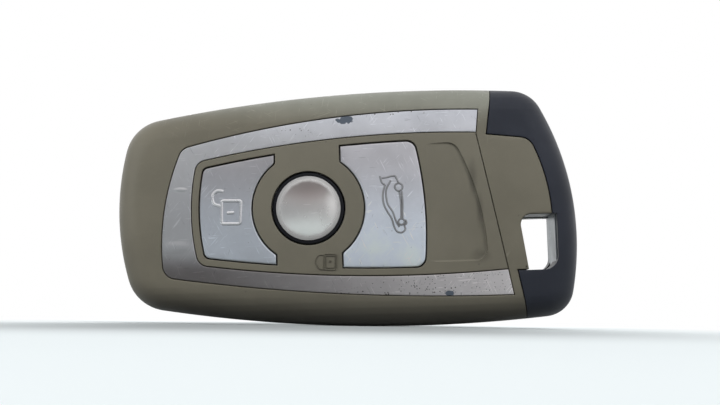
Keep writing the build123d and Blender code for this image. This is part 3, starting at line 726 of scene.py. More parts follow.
def half_of_form(name, front, edge):
    """Front or rear half of the form, with a small rounding along the parting line."""
    half = form_copy(name)
    level = shell_gap if front else -shell_gap
    edit(half)
    bpy.ops.mesh.bisect(
        plane_co=(0, 0, level), plane_no=(0, 0, 1), clear_inner=front, clear_outer=not front, use_fill=True)
    bpy.ops.mesh.select_mode(type="EDGE")
    bpy.ops.mesh.select_all(action="DESELECT")
    mesh = bmesh.from_edit_mesh(half.data)
    for edge_line in mesh.edges:
        edge_line.select = all(abs(vertex.co.z - level) < merge_distance for vertex in edge_line.verts)
    bmesh.update_edit_mesh(half.data)
    bpy.ops.mesh.bevel(offset=edge, segments=seam_segments, affect="EDGES")
    bpy.ops.mesh.select_mode(type="VERT")
    done()
    return half


def cavity():
    """Hollow inside the two shells."""
    wide = body_outline(wall)
    narrow = body_outline(wall + cavity_bevel)
    hollow = block("cavity", [
        (narrow, cavity_back), (wide, cavity_back + cavity_bevel),
        (wide, cavity_front - cavity_bevel), (narrow, cavity_front),
    ])
    return combine(hollow, right_field(cavity_seam_inset))


def right_field(inset):
    """Everything to the right of the bent seam."""
    left = bend_u - inset
    low = (left + far * tan(radians(seam_lean)), bend_v - far)
    high = (left + far * tan(radians(arm_end_lean)), bend_v + far)
    return cutter([(left, bend_v), low, (far, -far), (far, far), high], -far, far)


def core_block(fit, low, high):
    """Room of the key's core: inside the cap's wall, right of its web and above its lower arm."""
    core = cutter(body_outline(core_wall - fit), low, high)
    combine(core, cutter(box_outline(core_web_left - fit, -far, far, far), -far, far), "INTERSECT")
    corner = box_outline(-far, -far, cap_low[0] + core_wall, cap_low[1] + core_web_margin - fit)
    return combine(core, cutter(corner, -far, far))


def catch_outline(side=0.0, below=0.0, above=0.0, corner=0.0):
    """Rectangle round the catch's pad, wider by what is given."""
    return box_outline(
        catch_u - catch_half_length - side, catch_v - catch_half_width - below,
        catch_u + catch_half_length + side, catch_v + catch_half_width + above, corner)


def cover_outline(gap=0.0):
    """Battery cover, or its opening with the gap round it."""
    return box_outline(
        cover_left_u - gap, cell_v - cover_half_height - gap,
        cover_right_u + gap, cell_v + cover_half_height + gap, cover_corner + gap)


def find_frame_matrix():
    """Matrix from the fob's axes, in millimetres, to the frame, in metres: tilted and on the floor."""
    turn_cos, turn_sin = cos(radians(axis_tilt)), sin(radians(axis_tilt))
    turned = [(u * turn_cos - v * turn_sin, u * turn_sin + v * turn_cos) for u, v in body_outline()]
    middle = (min(x for x, _ in turned) + max(x for x, _ in turned)) / 2
    low = min(z for _, z in turned)
    tilt = Matrix((
        (turn_cos, -turn_sin, 0, -middle),
        (0, 0, -1, disc_rise / 2),
        (turn_sin, turn_cos, 0, -low),
        (0, 0, 0, 1),
    ))
    return Matrix.Scale(millimetre, 4) @ tilt


def dress(piece, material):
    """Gives a piece one material."""
    piece.data.materials.clear()
    piece.data.materials.append(material)


def finish_piece(piece, material, body, slot, *nodes, weighted=True):
    """Cleans and smooths a modelled piece, puts it in the frame and hangs it on its body."""
    edit(piece)
    bpy.ops.mesh.remove_doubles(threshold=merge_distance)
    bpy.ops.mesh.dissolve_degenerate(threshold=merge_distance)
    done()
    bpy.ops.object.shade_smooth_by_angle(angle=smooth_angle)
    if weighted:
        bpy.ops.object.modifier_add(type="WEIGHTED_NORMAL")
        piece.modifiers[-1].keep_sharp = True
        bpy.ops.object.modifier_apply(modifier=piece.modifiers[-1].name)
    piece.data.transform(find_frame_matrix())
    piece.data.update()
    dress(piece, material)
    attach(piece, body)
    if nodes:
        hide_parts(*nodes)


# Materials

def add_node(tree, kind, feeds=None, **settings):
    """Adds a node; feeds gives its inputs by name or number, as values or other nodes' outputs."""
    made = tree.nodes.new(kind)
    for name, value in settings.items():
        setattr(made, name, value)
    for name, value in (feeds or {}).items():
        if isinstance(value, bpy.types.NodeSocket):
            tree.links.new(value, made.inputs[name])
        else:
            made.inputs[name].default_value = value
    return made


def sum_up(tree, operation, first, *others):
    """Result of a maths operation on one value, or on several, one after another."""
    for other in others or (0.0,):
        first = add_node(tree, "ShaderNodeMath", {0: first, 1: other}, operation=operation).outputs[0]
    return first


def move(tree, operation, first, second):
    """Result of a maths operation on two places."""
    return add_node(tree, "ShaderNodeVectorMath", {0: first, 1: second}, operation=operation).outputs[0]


def between(tree, value, low, high, new_low=0.0, new_high=1.0):
    """Value stretched from one range to another and held inside it."""
    feeds = {"Value": value, "From Min": low, "From Max": high, "To Min": new_low, "To Max": new_high}
    return add_node(tree, "ShaderNodeMapRange", feeds, interpolation_type="SMOOTHSTEP").outputs["Result"]


def rgba(value):
    """A socket as it is, or a colour with its alpha."""
    return value if isinstance(value, bpy.types.NodeSocket) else (*tuple(value)[:3], 1.0)


def blend_colour(tree, factor, first, second, blend="MIX"):
    """Mix of two colours."""
    feeds = {0: factor, 6: rgba(first), 7: rgba(second)}
    return add_node(tree, "ShaderNodeMix", feeds, data_type="RGBA", blend_type=blend).outputs[2]


def tinted(tree, share, plain, tint):
    """Colour multiplied by a tint, as far as the share says."""
    return blend_colour(tree, share, plain, tint, "MULTIPLY")


def marked(tree, plain, mask, strength, mark):
    """Colour with marks of another colour where the mask is."""
    return blend_colour(tree, sum_up(tree, "MULTIPLY", mask, strength), plain, mark)


def object_place(tree):
    return add_node(tree, "ShaderNodeTexCoord").outputs["Object"]


def axis_share(tree, axis, low, high, at_low=0.0, at_high=1.0):
    """Share that changes along one axis of the frame, in metres."""
    parts = add_node(tree, "ShaderNodeSeparateXYZ", {0: object_place(tree)}).outputs
    return between(tree, parts[axis], low, high, at_low, at_high)


def noise(tree, place, scale, detail, roughness=0.5):
    """Outputs of a noise texture."""
    feeds = {"Vector": place, "Scale": scale, "Detail": detail, "Roughness": roughness}
    return add_node(tree, "ShaderNodeTexNoise", feeds).outputs


def turned_place(tree, place, angle):
    """Place turned about the axis that runs through the fob from front to back."""
    feeds = {"Vector": place, "Angle": angle}
    return add_node(tree, "ShaderNodeVectorRotate", feeds, rotation_type="Y_AXIS").outputs["Vector"]


def new_group(name, inputs, outputs):
    """Empty shader node group with its inputs and defaults and the named number outputs."""
    group = bpy.data.node_groups.new(name, "ShaderNodeTree")
    for title, default in inputs.items():
        kind = "NodeSocketFloat" if isinstance(default, float) else "NodeSocketVector"
        group.interface.new_socket(name=title, in_out="INPUT", socket_type=kind).default_value = default
    for title in outputs:
        group.interface.new_socket(name=title, in_out="OUTPUT", socket_type="NodeSocketFloat")
    given = group.nodes.new("NodeGroupInput").outputs
    return group, given, group.nodes.new("NodeGroupOutput").inputs


def moulded_grain():
    """Fine moulded texture and slow uneven tone."""
    inputs = {"Grain": 7000.0, "Patches": 90.0}
    group, given, result = new_group("moulded_grain", inputs, ("Height", "Tone"))
    place = object_place(group)
    group.links.new(noise(group, place, given["Grain"], 2.0, 0.6)["Fac"], result["Height"])
    group.links.new(noise(group, place, given["Patches"], 4.0, 0.55)["Fac"], result["Tone"])


def hairline_scratches():
    """Thin straight scratches in three directions, gathered in patches."""
    inputs = {"Fineness": 5200.0, "Length": 160.0, "Amount": 0.5, "Angle": 0.5}
    group, given, result = new_group("hairline_scratches", inputs, ("Mask",))
    place = object_place(group)
    feeds = {"X": given["Length"], "Y": given["Length"], "Z": given["Fineness"]}
    stretch = add_node(group, "ShaderNodeCombineXYZ", feeds).outputs[0]
    least = sum_up(group, "ADD", sum_up(group, "MULTIPLY", given["Amount"], -0.16), 0.78)
    sets = []
    for turn, patches in ((0.0, 420.0), (1.15, 510.0), (2.3, 600.0)):
        turned = turned_place(group, place, sum_up(group, "ADD", given["Angle"], turn))
        lines = noise(group, move(group, "MULTIPLY", turned, stretch), 1.0, 1.0)["Fac"]
        sharp = between(group, sum_up(group, "SUBTRACT", lines, least), 0.0, 0.035)
        gathered = between(group, noise(group, turned, patches, 1.0)["Fac"], 0.45, 0.62)
        sets.append(sum_up(group, "MULTIPLY", sharp, gathered))
    group.links.new(sum_up(group, "MAXIMUM", *sets), result["Mask"])


def pits():
    """Scattered small dots: pits, specks and bits of lint."""
    inputs = {"Spacing": 900.0, "Size": 0.12, "Share": 0.2}
    group, given, result = new_group("pits", inputs, ("Mask",))
    place = object_place(group)
    bend = move(group, "MULTIPLY", noise(group, place, 4000.0, 1.0)["Color"], (0.00022, 0.00022, 0.00022))
    feeds = {"Vector": move(group, "ADD", place, bend), "Scale": given["Spacing"], "Randomness": 1.0}
    cells = add_node(group, "ShaderNodeTexVoronoi", feeds).outputs
    grey = add_node(group, "ShaderNodeSeparateColor", {0: cells["Color"]}).outputs
    chosen = sum_up(group, "LESS_THAN", grey[0], given["Share"])
    reach = sum_up(group, "MULTIPLY", given["Size"], sum_up(group, "ADD", grey[1], 0.35))
    dot = sum_up(group, "LESS_THAN", cells["Distance"], reach)
    group.links.new(sum_up(group, "MULTIPLY", chosen, dot), result["Mask"])


def worn_spot():
    """Ragged spot at one place, for a chip, a dent or a rubbed patch."""
    inputs = {"Centre": (0, 0, 0), "Stretch": (1, 1, 1), "Radius": 0.001, "Softness": 0.3, "Ragged": 0.3,
              "Grain": 900.0}
    group, given, result = new_group("worn_spot", inputs, ("Mask",))
    place = object_place(group)
    turned = turned_place(group, move(group, "SUBTRACT", place, given["Centre"]), radians(axis_tilt))
    shaped = move(group, "MULTIPLY", turned, given["Stretch"])
    away = add_node(group, "ShaderNodeVectorMath", {0: shaped}, operation="LENGTH").outputs["Value"]
    rough = sum_up(group, "SUBTRACT", noise(group, place, given["Grain"], 3.0)["Fac"], 0.5)
    rough = sum_up(group, "MULTIPLY", rough, given["Ragged"], 4.0)
    reach = sum_up(group, "ADD", sum_up(group, "DIVIDE", away, given["Radius"]), rough)
    inner = sum_up(group, "SUBTRACT", 1.0, given["Softness"])
    outer = sum_up(group, "ADD", 1.0, given["Softness"])
    group.links.new(between(group, reach, inner, outer, 1.0, 0.0), result["Mask"])


def grouped(tree, name, **feeds):
    """Places a shared node group with its own values."""
    made = tree.nodes.new("ShaderNodeGroup")
    made.node_tree = bpy.data.node_groups[name]
    for title, value in feeds.items():
        made.inputs[title.capitalize()].default_value = value
    return made.outputs


def spot(tree, u, v, stretch, radius, softness, ragged, grain=900.0):
    """Worn spot at a place on the fob's front."""
    centre = find_frame_matrix() @ Vector((u, v, half_depth - crown_drop(v)))
    return grouped(tree, "worn_spot", centre=centre, stretch=(stretch[0], 1.0, stretch[1]),
                   radius=radius * millimetre, softness=softness, ragged=ragged, grain=grain)["Mask"]


def spots(tree, *places):
    """Several worn spots in one mask."""
    return sum_up(tree, "MAXIMUM", *[spot(tree, *place) for place in places])


def new_material(name):
    """Material with its node tree and surface shader."""
    material = bpy.data.materials.new(name)
    material.use_nodes = True
    tree = material.node_tree
    return material, tree, tree.nodes["Principled BSDF"]


def reopened(material):
    """A made material's tree, its shader and what feeds its base colour."""
    tree = material.node_tree
    shader = tree.nodes["Principled BSDF"]
    return tree, shader, shader.inputs["Base Color"].links[0].from_socket


def bump(tree, shader, height, strength, distance):
    """Feeds a height into the shader's normal."""
    made = add_node(tree, "ShaderNodeBump", {"Height": height, "Strength": strength, "Distance": distance})
    tree.links.new(made.outputs["Normal"], shader.inputs["Normal"])


def mottled(tree, shader, texture, base, dark, light, roughness, spread):
    """Uneven roughness on the shader, and an uneven colour given back."""
    level = between(tree, texture["Tone"], 0.3, 0.7, roughness + spread, roughness - spread)
    tree.links.new(level, shader.inputs["Roughness"])
    return blend_colour(tree, between(tree, texture["Tone"], 0.3, 0.7), base * dark, base * light)


def dented(tree, shader, height, marks, depth, strength, distance):
    """Relief of the grain with marks sunk into it."""
    sunk = sum_up(tree, "MULTIPLY", sum_up(tree, "MAXIMUM", *marks), depth)
    bump(tree, shader, sum_up(tree, "SUBTRACT", height, sunk), strength, distance)


def plastic(name, base, roughness, grain_depth=0.000012, light=1.08, dark=0.94, marks=0.3, specular=0.5):
    """Moulded plastic with fine grain, uneven tone, and scratches and specks where marks are asked for."""
    material, tree, shader = new_material(name)
    base = Vector(base[:3])
    texture = grouped(tree, "moulded_grain", grain=7000.0, patches=110.0)
    plain = mottled(tree, shader, texture, base, dark, light, roughness, 0.05)
    if marks:
        lines = grouped(tree, "hairline_scratches", amount=marks, length=210.0, angle=0.35)["Mask"]
        lines = sum_up(tree, "MULTIPLY", lines, axis_share(tree, "Z", 0.030, 0.042, 0.12, 1.0))
        specks = grouped(tree, "pits", spacing=700.0, size=0.13, share=0.08)["Mask"]
        plain = marked(tree, plain, lines, 0.5, base * 1.8)
        plain = marked(tree, plain, specks, 0.45, base * 0.5)
        dented(tree, shader, texture["Height"], (lines, specks), 1.2, 0.6, grain_depth)
    else:
        bump(tree, shader, texture["Height"], 0.6, grain_depth)
    tree.links.new(plain, shader.inputs["Base Color"])
    shader.inputs["Specular IOR Level"].default_value = specular
    return material


def metal(name, base, roughness, scratch=0.6, metallic=1.0):
    """Satin metal with a fine blasted grain, clouds of tone, scratches and pits."""
    material, tree, shader = new_material(name)
    base = Vector(base[:3])
    texture = grouped(tree, "moulded_grain", grain=9000.0, patches=150.0)
    plain = mottled(tree, shader, texture, base, 0.92, 1.05, roughness, 0.06)
    lines = grouped(
        tree, "hairline_scratches", amount=scratch, fineness=4300.0, length=240.0, angle=0.9)["Mask"]
    cuts = grouped(
        tree, "hairline_scratches", amount=scratch * 0.8, fineness=3900.0, length=300.0, angle=2.1)["Mask"]
    specks = grouped(tree, "pits", spacing=1100.0, size=0.1, share=0.14)["Mask"]
    for mask, strength, paler in ((lines, 0.55, 1.5), (cuts, 0.45, 0.5), (specks, 0.5, 0.4)):
        plain = marked(tree, plain, mask, strength, base * paler)
    tree.links.new(plain, shader.inputs["Base Color"])
    shader.inputs["Metallic"].default_value = metallic
    dented(tree, shader, texture["Height"], (lines, specks), 1.5, 0.5, 0.000006)
    return material


def trim_metal():
    """Satin metal of the trim with its chips, dents and pitted stretches, and painted light: the lower arm
    painted darker to the left and paler to the right, the top painted paler.
    """
    material = metal("trim_metal", colours().trim, 0.36)
    tree, shader, plain = reopened(material)
    chip = spots(tree, (-0.1, 16.3, (0.57, 1.25), 1.0, 0.05, 0.5, 620.0),
                 (18.3, -16.45, (0.9, 1.6), 0.7, 0.05, 0.45, 800.0))
    worn = spots(tree, (18.0, -14.2, (0.13, 0.9), 1.9, 0.5, 0.4), (-9.5, 14.2, (0.4, 1.3), 1.2, 0.5, 0.4),
                 (3.0, -16.2, (0.1, 1.1), 0.9, 0.5, 0.4), (10.0, 17.6, (0.1, 1.4), 0.8, 0.5, 0.4))
    dent = spots(tree, (-31.6, -6.5, (0.5, 1.2), 1.0, 0.7, 0.05), (-30.7, 4.1, (0.6, 1.8), 0.55, 0.7, 0.05))
    # Painted shade and highlight: the lower arm is darkened towards the left and lightened towards the right,
    # and the lower half a little darker, standing in for the floor's shade and light mirrored in it
    painted_light_low_arm = blend_colour(
        tree, axis_share(tree, "X", -0.033, 0.030), (0.40, 0.37, 0.36), (1.5, 1.42, 1.4))
    plain = tinted(tree, axis_share(tree, "Z", 0.009, 0.0145, 1.0, 0.0), plain, painted_light_low_arm)
    plain = tinted(tree, axis_share(tree, "Z", 0.018, 0.030, 0.25, 0.0), plain, (0.5, 0.5, 0.5))
    # Painted highlight: the top arm is paler and bluer, standing in for the lit surroundings mirrored in it
    plain = tinted(tree, axis_share(tree, "Z", 0.031, 0.040), plain, (1.28, 1.3, 1.36))
    specks = grouped(tree, "pits", spacing=2100.0, size=0.27, share=0.55)["Mask"]
    plain = marked(tree, plain, specks, worn, (0.11, 0.10, 0.095))
    tree.links.new(blend_colour(tree, chip, plain, colours().chip), shader.inputs["Base Color"])
    tree.links.new(between(tree, chip, 0.0, 1.0, 1.0, 0.15), shader.inputs["Metallic"])
    shape = shader.inputs["Normal"].links[0].from_node
    relief = shape.inputs["Height"].links[0].from_socket
    relief = sum_up(tree, "ADD", relief, sum_up(tree, "MULTIPLY", dent, 34.0))
    relief = sum_up(tree, "SUBTRACT", relief, sum_up(tree, "MULTIPLY", chip, 9.0))
    tree.links.new(relief, shape.inputs["Height"])
    return material


def button_metal():
    """Satin metal of the side buttons, with painted reflections: paler towards the bottom and the right."""
    material = metal("button_silver", colours().button, 0.34)
    tree, shader, plain = reopened(material)
    # Painted reflection: paler towards the bottom, standing in for the lit floor mirrored there
    plain = tinted(tree, axis_share(tree, "Z", 0.014, 0.032, 0.75, 0.0), plain, (1.55, 1.72, 1.82))
    # Painted reflection: darker to the left and paler to the right, after the uneven surroundings
    sides = blend_colour(
        tree, axis_share(tree, "X", -0.018, 0.004), (0.84, 0.83, 0.84), (1.14, 1.14, 1.17))
    tree.links.new(tinted(tree, 1.0, plain, sides), shader.inputs["Base Color"])
    return material


def disc_metal():
    """Pearly metal of the domed disc, dulled round its rim, with painted light: a painted highlight on its
    right, painted shade on its upper part and a painted reflection making its bottom paler.
    """
    material = metal("disc_metal", colours().disc, 0.24, scratch=0.35, metallic=0.6)
    tree, shader, plain = reopened(material)
    base = Vector(colours().disc[:3])
    # Painted light on the dome: the darker pink top is pearly tint and painted shade, the paler bottom is a
    # painted reflection and the pale spot on the right is a painted highlight
    patches = (
        ((lock_u, 3.2, (0.5, 1.0), 2.3, 0.9, 0.02), 0.85, (0.66, 0.58, 0.57)),
        ((lock_u + 0.2, -4.6, (0.45, 1.0), 2.5, 0.9, 0.02), 0.9, (1.56, 1.66, 1.66)),
        ((lock_u + 4.6, 0.4, (1.0, 0.5), 1.2, 0.8, 0.1), 0.8, (1.45, 1.45, 1.45)),
    )
    for place, strength, tint in patches:
        plain = marked(tree, plain, spot(tree, *place), strength, base * Vector(tint))
    # Painted shade: the upper part of the disc is darkened
    plain = tinted(tree, axis_share(tree, "Z", 0.0225, 0.0262), plain, (0.52, 0.51, 0.51))
    ring = spot(tree, lock_u, 0.0, (1.0, 1.0), disc_radius - 0.95, 0.07, 0.02)
    rim = spot(tree, lock_u, 0.0, (1.0, 1.0), disc_radius - 0.55, 0.06, 0.02)
    plain = blend_colour(tree, ring, base * 1.1, plain)
    tree.links.new(blend_colour(tree, rim, base * 0.8, plain), shader.inputs["Base Color"])
    level = sum_up(tree, "ADD", shader.inputs["Roughness"].links[0].from_socket, 0.16)
    level = sum_up(tree, "SUBTRACT", level, sum_up(tree, "MULTIPLY", rim, 0.16))
    tree.links.new(level, shader.inputs["Roughness"])
    return material


def board_material():
    """Green circuit board with copper tracks and round lands."""
    material, tree, shader = new_material("board_green")
    place = object_place(tree)
    cells = add_node(tree, "ShaderNodeTexVoronoi", {
        "Vector": place, "Scale": 420.0, "Randomness": 0.35}, distance="CHEBYCHEV", feature="F1")
    track = between(tree, cells.outputs["Distance"], 0.34, 0.37)
    lands = add_node(tree, "ShaderNodeTexVoronoi", {"Vector": place, "Scale": 700.0, "Randomness": 0.8})
    land = between(tree, lands.outputs["Distance"], 0.18, 0.15)
    texture = grouped(tree, "moulded_grain", grain=5000.0, patches=200.0)
    lacquer = blend_colour(tree, track, (0.006, 0.075, 0.03), (0.012, 0.14, 0.055))
    tree.links.new(blend_colour(tree, land, lacquer, (0.62, 0.60, 0.55)), shader.inputs["Base Color"])
    tree.links.new(land, shader.inputs["Metallic"])
    shader.inputs["Roughness"].default_value = 0.35
    height = sum_up(tree, "ADD", track, sum_up(tree, "MULTIPLY", texture["Height"], 0.3))
    bump(tree, shader, height, 0.5, 0.00003)
    return material


def winding_material():
    """Fine enamelled copper wire, turn beside turn."""
    material, tree, shader = new_material("winding")
    feeds = {"Vector": object_place(tree), "Rotation": (0, radians(axis_tilt), 0)}
    turned = add_node(tree, "ShaderNodeMapping", feeds).outputs[0]
    feeds = {"Vector": turned, "Scale": 900.0, "Distortion": 0.4, "Detail": 1.0}
    rows = add_node(tree, "ShaderNodeTexWave", feeds, bands_direction="X").outputs["Fac"]
    shade = blend_colour(tree, rows, (0.10, 0.028, 0.010), (0.55, 0.20, 0.08))
    tree.links.new(shade, shader.inputs["Base Color"])
    shader.inputs["Metallic"].default_value = 0.85
    shader.inputs["Roughness"].default_value = 0.32
    bump(tree, shader, rows, 0.8, 0.00008)
    return material


def make_groups():
    """Shared effects, built once."""
    for make in (moulded_grain, hairline_scratches, pits, worn_spot):
        make()


def case_plastic():
    """Plastic of the shells with painted light: a painted highlight makes it paler along the top and painted
    shade darker along the bottom, made once.
    """
    if "case_plastic" in bpy.data.materials:
        return bpy.data.materials["case_plastic"]
    material = plastic("case_plastic", colours().case, 0.42, marks=0.62, specular=0.4)
    tree, shader, plain = reopened(material)
    # Painted highlight: paler and bluer towards the top, standing in for the sheen on the lit upper rim
    plain = tinted(tree, axis_share(tree, "Z", 0.0365, 0.0435), plain, (1.6, 1.75, 1.95))
    # Painted shade: darker towards the bottom, where the rounded underside would be in shade
    plain = tinted(tree, axis_share(tree, "Z", 0.0015, 0.0085, 0.85, 0.0), plain, (0.42, 0.43, 0.46))
    tree.links.new(plain, shader.inputs["Base Color"])
    return material


def panel_plastic():
    """Plastic of the panel, with painted shade along the right edge of the thumb recess."""
    material = plastic("panel_plastic", colours().case, 0.40)
    tree, shader, plain = reopened(material)
    # Painted shade: darker patches along the right and lower right edge of the thumb recess, where its wall
    # would shade it
    recess_painted_shade = spots(tree, (23.3, 4.6, (2.4, 0.55), 1.5, 0.9, 0.15), (24.4, -1.6, (2.6, 0.5), 1.3, 0.9, 0.15),
                  (24.3, -9.6, (0.9, 1.2), 1.2, 0.9, 0.2))
    plain = marked(tree, plain, recess_painted_shade, 0.6, Vector(colours().case[:3]) * 0.4)
    tree.links.new(plain, shader.inputs["Base Color"])
    return material


class FobFrontCase(bpy.types.Operator):
    """Front shell with its pocket for trim and panel and its tongue beside the ring eye"""

    bl_idname = "fob.front_case"
    bl_label = "Front case"

    def execute(self, context):
        finish_piece(agreed(self.model), case_plastic(), "case", "body_plastic", "front_case")
        return {"FINISHED"}

    def model(self):
        edge = sizes().seam_edge
        shell = half_of_form("front_shell", True, edge)
        combine(shell, cavity())
        combine(shell, crowned_cutter(trim_outline(-seam_gap), trim_floor, edge))
        combine(shell, cutter(panel_outline(panel_ledge), cavity_front - overrun, half_depth + overrun))
        combine(shell, crowned_cutter(cap_outline(cap_gap), -overrun, edge))
        combine(shell, crowned_cutter(notch_outline(), -overrun, 2 * edge))
        return shell


class FobRearCase(bpy.types.Operator):
    """Rear shell with battery opening, catch slot and channel for the emergency key"""

    bl_idname = "fob.rear_case"
    bl_label = "Rear case"

    def execute(self, context):
        finish_piece(agreed(self.model), case_plastic(), "case", "body_plastic", "rear_case")
        return {"FINISHED"}

    def model(self):
        edge = sizes().seam_edge
        shell = half_of_form("rear_shell", False, edge)
        combine(shell, cavity())
        combine(shell, cutter(circle_outline(cell_u, cell_v, well_radius), cover_floor, overrun))
        slot_low = core_back - core_fit
        combine(shell, core_block(core_fit, slot_low, overrun))
        tang = box_outline(
            tang_left_u - core_fit, tang_low_v - core_fit,
            core_web_left + core_wall, tang_high_v + core_fit)
        combine(shell, cutter(tang, slot_low, overrun))
        below = catch_travel + running_gap
        well = catch_outline(catch_side + running_gap, catch_below + below, catch_above + running_gap)
        combine(shell, cutter(well, cavity_back, overrun))
        for u, v in boss_places:
            post = circle_outline(u, v, boss_radius, boss_steps)
            combine(shell, cutter(post, cavity_back - 2 * merge_distance, boss_top), "UNION")
        slot = catch_outline(running_gap, below, running_gap, catch_corner)
        combine(shell, back_cutter(slot, cavity_back + overrun, edge))
        combine(shell, back_cutter(cover_outline(cover_gap), cavity_back + running_gap, edge))
        combine(shell, back_cutter(cap_outline(cap_gap), overrun, edge))
        combine(shell, back_cutter(notch_outline(), overrun, 2 * edge))
        return shell


def back_cutter(points, high, edge):
    """Cutter through the flat back that leaves a rounded edge there."""
    points = cleared(points, edge * corner_reach)
    rings = back_rings(points, edge, outwards=True)
    return block("cutter", [(rings[0][0], -half_depth - overrun)] + rings + [(points, high)])


class FobTrim(bpy.types.Operator):
    """Metal trim: a U round the keypad"""

    bl_idname = "fob.trim"
    bl_label = "Trim"

    def execute(self, context):
        finish_piece(agreed(self.model), trim_metal(), "case", "satin_silver", "trim")
        return {"FINISHED"}

    def model(self):
        edge = sizes().seam_edge
        trim = crowned_block("keypad_trim", trim_outline(), trim_floor, edge)
        combine(trim, crowned_cutter(panel_outline(-seam_gap), trim_floor - overrun, edge))
        return trim


class FobPanel(bpy.types.Operator):
    """Panel with the openings for the buttons and the thumb recess"""

    bl_idname = "fob.button_panel"
    bl_label = "Button panel"

    def execute(self, context):
        finish_piece(agreed(self.model), panel_plastic(), "case", "body_plastic", "button_panel")
        return {"FINISHED"}

    def model(self):
        edge = sizes().seam_edge
        panel = crowned_block("keypad_panel", panel_outline(), panel_floor, edge)
        hole = circle_outline(lock_u, 0, ring_radius + key_gap)
        for opening in (unlock_shape(key_gap), boot_shape(key_gap), hole):
            combine(panel, crowned_cutter(opening, panel_floor - overrun, edge))
        combine(panel, recess_cutter())
        return panel


def recess_cutter():
    """Thumb recess: its floor slopes down to the right and meets its sides in a soft curve."""
    def floor(u, v):
        share = (u - recess_left_u) / (recess_right_u - recess_left_u)
        return half_depth + recess_lead - (recess_depth + recess_lead) * share

    rings = []
    for step in range(recess_steps + 1):
        turn = pi / 2 * step / recess_steps
        outline = recess_outline(recess_soft * (sin(turn) - 1))
        lift = recess_soft * (1 - cos(turn))
        rings.append((outline, lambda u, v, lift=lift: floor(u, v) + lift))
    rings.append((rings[-1][0], half_depth + overrun))
    return crown(block("cutter", rings), 0, strip_width / 2 - half_height)


class FobButtons(bpy.types.Operator):
    """The two side buttons, cut round by the lock button's surround"""

    bl_idname = "fob.buttons"
    bl_label = "Side buttons"

    def execute(self, context):
        silver = button_metal()
        shapes = (
            ("unlock_key", unlock_shape(), "unlock_button"),
            ("boot_key", boot_shape(), "boot_button"),
        )
        for body, points, node in shapes:
            button = crowned_block(node + "_cap", points, key_floor, sizes().button_edge)
            finish_piece(button, silver, body, "button_silver", node)
        return {"FINISHED"}


class FobLockButton(bpy.types.Operator):
    """Round lock button: glossy ring and domed disc"""

    bl_idname = "fob.lock_button"
    bl_label = "Lock button"

    def execute(self, context):
        points = circle_outline(lock_u, 0, ring_radius)
        rings = edge_rings(points, ring_top, sizes().button_edge, outwards=False)
        ring = block("lock_ring", [(points, disc_seat - overrun)] + rings)
        combine(ring, cutter(circle_outline(lock_u, 0, disc_radius), disc_seat, half_depth + overrun))
        gloss = plastic("ring_gloss", colours().ring, 0.12, grain_depth=0.000002, marks=0, specular=0.3)
        finish_piece(ring, gloss, "lock_key", "ring_black", "lock_button")
        top = half_depth + disc_rise
        fall = top - (ring_top + disc_edge)
        dome_radius = (disc_radius**2 + fall**2) / (2 * fall)
        rings = [(circle_outline(lock_u, 0, disc_radius - disc_gap), disc_seat)]
        for step in range(dome_steps + 1):
            radius = disc_radius * cos(pi / 2 * step / (dome_steps + 1)) - disc_gap
            depth = top - dome_radius + sqrt(dome_radius**2 - radius**2)
            rings.append((circle_outline(lock_u, 0, radius), depth))
        disc = block("lock_dome", rings)
        finish_piece(disc, disc_metal(), "lock_key", "dome_silver", "lock_disc", weighted=False)
        return {"FINISHED"}


class FobBowCap(bpy.types.Operator):
    """Dark cap round the ring eye, the grip of the emergency key"""

    bl_idname = "fob.bow_cap"
    bl_label = "Bow cap"

    def execute(self, context):
        dark = plastic("cap_plastic", colours().cap, 0.42, light=1.15, dark=0.88, specular=0.35)
        finish_piece(agreed(self.model), dark, "emergency_key", "cap_dark", "bow_cap")
        return {"FINISHED"}

    def model(self):
        cap = form_copy("key_cap")
        combine(cap, cap_keeper(sizes().seam_edge), "INTERSECT")
        combine(cap, core_block(0, core_back, core_front))
        post = box_outline(
            eye_wall_u, cap_low[1] - post_reach, eye_wall_u + post_width, eye_top_v + post_reach)
        combine(cap, cutter(post, -post_half_depth, post_half_depth))
        return cap


def cap_keeper(edge):
    """Region that the cap keeps, drawn in where it meets the crowned front and the flat back."""
    points = cleared(cap_outline(), edge * corner_reach)
    rings = back_rings(points, edge) + edge_rings(points, half_depth, edge, outwards=False)
    rings = [(rings[0][0], -half_depth - overrun)] + rings + [(rings[-1][0], half_depth + overrun)]
    return crown(block("cutter", rings), 0)


class FobBatteryCover(bpy.types.Operator):
    """Battery cover with its pry slot and hooks"""

    bl_idname = "fob.battery_cover"
    bl_label = "Battery cover"

    def execute(self, context):
        finish_piece(agreed(self.model), case_plastic(), "cover", "body_plastic", "battery_cover")
        return {"FINISHED"}

    def model(self):
        edge = sizes().seam_edge
        outline = cover_outline()
        cover = block("battery_lid", back_rings(outline, edge) + [(outline, cover_floor)])
        combine(cover, form_copy("cutter"), "INTERSECT")
        pry = rounded_polygon([
            (cover_left_u - pry_reach, cell_v - pry_half_width, 0),
            (cover_left_u + pry_reach, cell_v - pry_half_width, pry_reach - edge),
            (cover_left_u + pry_reach, cell_v + pry_half_width, pry_reach - edge),
            (cover_left_u - pry_reach, cell_v + pry_half_width, 0),
        ])
        combine(cover, cutter(pry, -half_depth - overrun, -half_depth + pry_depth))
        for v in (cell_v + hook_spacing / 2, cell_v - hook_spacing / 2):
            low, high = v - hook_width / 2, v + hook_width / 2
            root = box_outline(cover_right_u - hook_root, low, cover_right_u, high)
            combine(cover, cutter(root, cover_floor - running_gap, hook_top), "UNION")
            tip = box_outline(cover_right_u - hook_root, low, cover_right_u + hook_reach, high)
            combine(cover, cutter(tip, hook_floor, hook_top + merge_distance), "UNION")
        return cover


